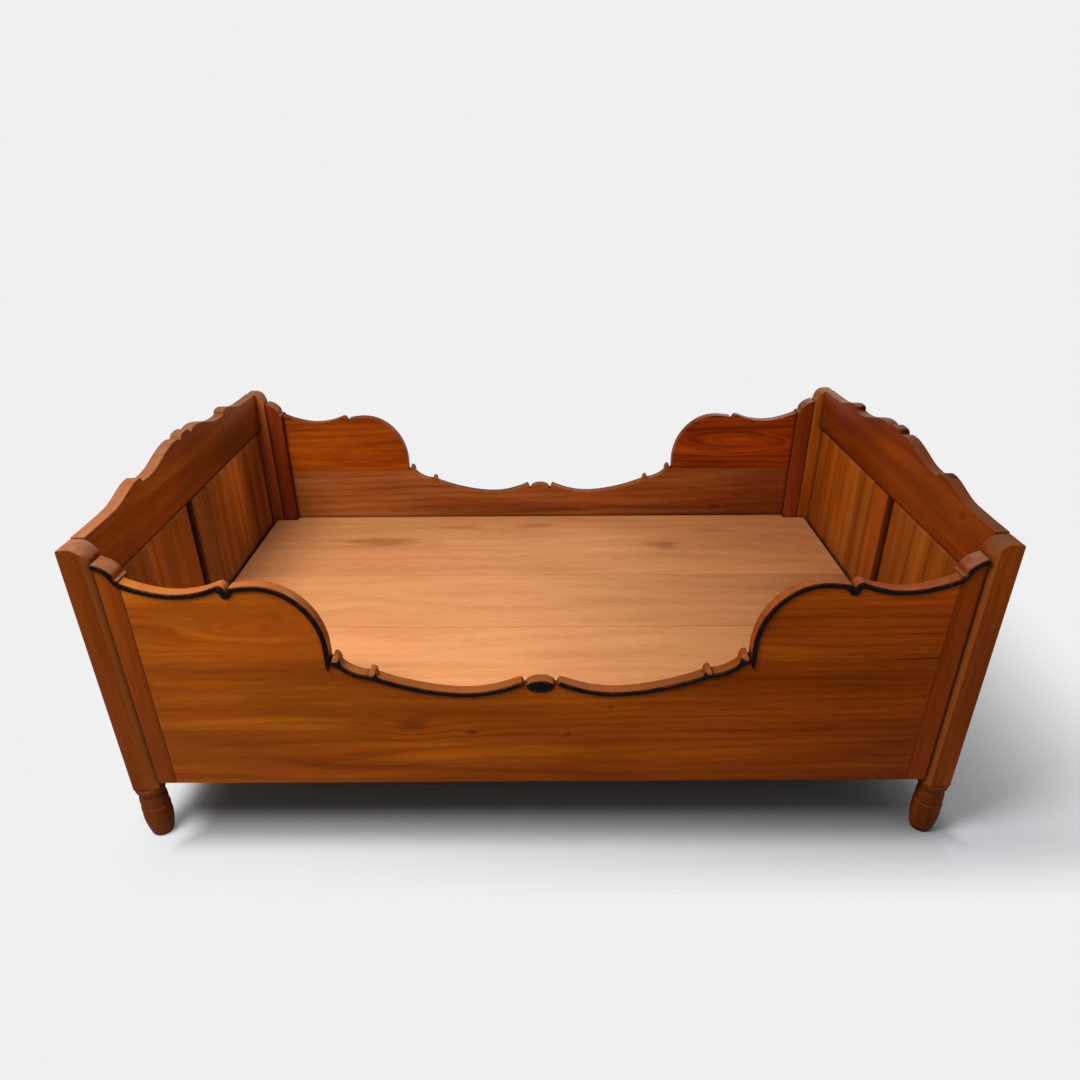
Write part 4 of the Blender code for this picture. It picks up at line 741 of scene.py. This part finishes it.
def dress_base():
    """Boards, slats, ledgers, irons and the ledgers' screws."""
    front_stains = ((0.06, -0.33, 160, 20, 0.20),)
    middle_stains = ((0.18, -0.05, 120, 24, 0.18),)
    back_stains = ((-0.55, 0.38, 150, 40, 0.75), (0.42, 0.34, 60, 34, 0.7), (-0.03, 0.51, 60, 22, 0.6),
                   (-0.30, 0.50, 110, 26, 0.45), (0.60, 0.46, 90, 26, 0.35))
    boards = (("front", ("B4784B", "C58756", "CD9161"), "CCBEA2", front_stains),
              ("middle", ("B07548", "C18454", "CA8F5F"), "CABCA0", middle_stains),
              ("back", ("A66D42", "B97C4D", "C4885A"), "FAF4EC", back_stains))
    for number, (board, tones, right_shade_tint, stains) in enumerate(boards):
        shift = (1.7 * number, 0.9 * number, 0.0)
        repaint(board + "_base_board", plywood("plywood_" + board, shift, tones, right_shade_tint, stains))
    ledger_pine = pine("sawn_pine_ledger", FLAT_SAWN_X, (0.0, 0.21, -0.17))
    slat_pine = pine("sawn_pine_slat", ALONG_Y, (0.0, 0.13, -0.30))
    iron = forged_iron("forged_iron", "4A4643", "3A2418")
    for side in SIDES:
        repaint(side + "_ledger", ledger_pine)
    for number in range(1, SLAT_COUNT + 1):
        repaint("slat_" + str(number), slat_pine)
    for corner in CORNERS:
        repaint(corner + "_rail_hook", iron)
        repaint(corner + "_post_keeper", iron)
    tree = screw_tree(forged_iron("screw_steel", "8A8680", "4A3222"))
    for side, facing in (("front", 1), ("back", -1)):
        low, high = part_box(side + "_ledger")
        inner_y = high.y if facing > 0 else low.y
        middle_y = inner_y + facing * SCREW_HEAD * SCREW_THICK_SHARE / 2
        step = (high.x - low.x - 2 * SCREW_INSET) / (SCREW_COUNT - 1)
        screw_row(side + "_ledger_screws", tree, "bedstead", "iron", count=SCREW_COUNT,
                  start=(low.x + SCREW_INSET, middle_y, (low.z + high.z) / 2), step=(step, 0.0, 0.0),
                  head_radius=SCREW_HEAD, turn=(math.radians(-90 * facing), 0.0, 0.0))


def seen_directly(tree):
    """One where a ray comes from the camera, a reflection or a clear body, nought where it only lights."""
    ray = add_node(tree, "ShaderNodeLightPath").outputs
    seen = add_node(tree, MATH, {0: ray["Is Camera Ray"], 1: ray["Is Glossy Ray"]}, operation="MAXIMUM")
    return add_node(tree, MATH, {0: seen, 1: ray["Is Transmission Ray"]}, operation="MAXIMUM")


def matt_floor_paint():
    """Matt floor paint, rolled on. The eye sees pale grey with no sheen, a painted shadow deep below the
    bed, and a floor that turns into the backdrop farther off."""
    shade_middle, shade_half = (0.07, 0.0, 0.0), (0.96, 0.635, 9.0)
    material, tree, shader, place = new_material("matt_floor_paint")
    from_middle = add_node(tree, VECTOR, {0: place, 1: shade_middle}, operation="SUBTRACT")
    from_middle = add_node(tree, VECTOR, {0: from_middle}, operation="ABSOLUTE")
    beyond = add_node(tree, VECTOR, {0: from_middle, 1: shade_half}, operation="SUBTRACT")

    # The floor's colour holds a painted shadow, deep below the bed and gone a hand's breadth in front of it
    parts = add_node(tree, SPLIT, {0: beyond}).outputs
    edge = add_node(tree, MATH, {0: parts["X"], 1: parts["Y"]}, operation="MAXIMUM")
    shade = add_node(tree, RANGE, {"Value": edge, "From Min": -0.04, "From Max": 0.06, "To Min": 0.38},
                     interpolation_type="SMOOTHSTEP")
    paint = add_node(tree, MIX, {"Factor": shade, MIX_A: linear("000000"), MIX_B: linear("C6CDD7")},
                     data_type="RGBA").outputs[MIXED]
    set_inputs(tree, shader, {"Base Color": paint, "Roughness": 0.9, "Specular IOR Level": 0.1})

    # The floor turns into backdrop slowly on the right, where the long shadow lies, and fast on other sides
    outside = add_node(tree, VECTOR, {0: beyond, 1: (0.0, 0.0, 0.0)}, operation="MAXIMUM")
    across = add_node(tree, SPLIT, {0: place}).outputs["X"]
    on_left = add_node(tree, MATH, {0: across, 1: 0.0}, operation="LESS_THAN")
    steep = add_node(tree, MATH, {0: on_left, 1: 3.0, 2: 1.0}, operation="MULTIPLY_ADD")
    weights = add_node(tree, JOIN, {"X": steep, "Y": 4.0, "Z": 1.0})
    steeper = add_node(tree, VECTOR, {0: outside, 1: weights}, operation="MULTIPLY")
    far = add_node(tree, VECTOR, {0: steeper}, operation="LENGTH").outputs["Value"]
    fade = add_node(tree, RANGE, {"Value": far, "From Min": 0.06, "From Max": 0.90},
                    interpolation_type="SMOOTHSTEP")
    share = add_node(tree, MATH, {0: fade, 1: seen_directly(tree)}, operation="MULTIPLY")
    paper = add_node(tree, "ShaderNodeEmission", {"Color": linear(PAPER), "Strength": 1.0})
    mixed = add_node(tree, "ShaderNodeMixShader", {0: share, 1: shader, 2: paper})
    set_inputs(tree, tree.nodes["Material Output"], {"Surface": mixed})
    return material


def studio_floor():
    """A pale floor that keeps the bed's shadow and runs out into the pale backdrop."""
    half_size = 30.0
    mesh = bpy.data.meshes.new("studio_floor")
    bm = bmesh.new()
    bmesh.ops.create_grid(bm, x_segments=2, y_segments=2, size=half_size)
    bm.to_mesh(mesh)
    bm.free()
    mesh.materials.append(matt_floor_paint())
    floor = in_scene("studio_floor", mesh)


def studio_light():
    """A large warm lamp at the upper left, a faint one at the right, one behind, and a soft even room."""
    world = bpy.data.worlds.new("soft_room")
    bpy.context.scene.world = world
    world.use_nodes = True
    tree = world.node_tree
    room = tree.nodes["Background"]
    set_inputs(tree, room, {"Color": linear("FFFCF8"), "Strength": 0.30})
    paper = add_node(tree, "ShaderNodeBackground", {"Color": linear(PAPER), "Strength": 1.0})
    mixed = add_node(tree, "ShaderNodeMixShader", {0: seen_directly(tree), 1: room, 2: paper})
    set_inputs(tree, tree.nodes["World Output"], {"Surface": mixed})
    for name, place, aim, size, power, tint in (
            ("key_lamp", (-1.30, -1.35, 2.6), (-0.1, 0.0, 0.35), 1.2, 98.0, "FFF9F0"),
            ("fill_lamp", (2.0, -1.1, 2.1), (-0.9, 0.0, 0.6), 2.0, 8.0, "FFF6EC"),
            ("back_lamp", (1.2, 2.4, 1.9), (-0.7, 0.0, 0.5), 1.6, 30.0, "FFF6EC")):
        data = bpy.data.lights.new(name, "AREA")
        data.shape = "DISK"
        data.size = size
        data.energy = power
        data.color = linear(tint)[:3]
        lamp = in_scene(name, data)
        lamp.location = place
        lamp.rotation_euler = (Vector(aim) - Vector(place)).to_track_quat("-Z", "Y").to_euler()


def photo_camera():
    """The photograph's camera: held at eye height in front of the long side and tipped down."""
    focal_pixels = 788.57
    raise_pixels = 40
    position = Vector((0.0045, -2.1006, 1.5384))
    yaw, pitch, roll = -0.0026772, 0.4951262, 0.0068623
    forward = Vector((math.sin(yaw) * math.cos(pitch), math.cos(yaw) * math.cos(pitch), -math.sin(pitch)))
    right = Vector((math.cos(yaw), -math.sin(yaw), 0))
    down = forward.cross(right)
    across = math.cos(roll) * right + math.sin(roll) * down
    below = -math.sin(roll) * right + math.cos(roll) * down
    data = bpy.data.cameras.new("photo_camera")
    data.sensor_fit = "HORIZONTAL"
    data.sensor_width = 36.0
    data.lens = focal_pixels / IMAGE_PIXELS * data.sensor_width
    data.shift_y = raise_pixels / IMAGE_PIXELS
    camera = in_scene("photo_camera", data)
    turn = Matrix((across, -below, -forward)).transposed()
    camera.matrix_world = Matrix.Translation(position) @ turn.to_4x4()
    bpy.context.scene.camera = camera


dress_sides()
dress_ends()
dress_base()
studio_floor()
studio_light()
photo_camera()
bpy.context.scene.view_settings.view_transform = "Standard"

bpy.context.view_layer.update()
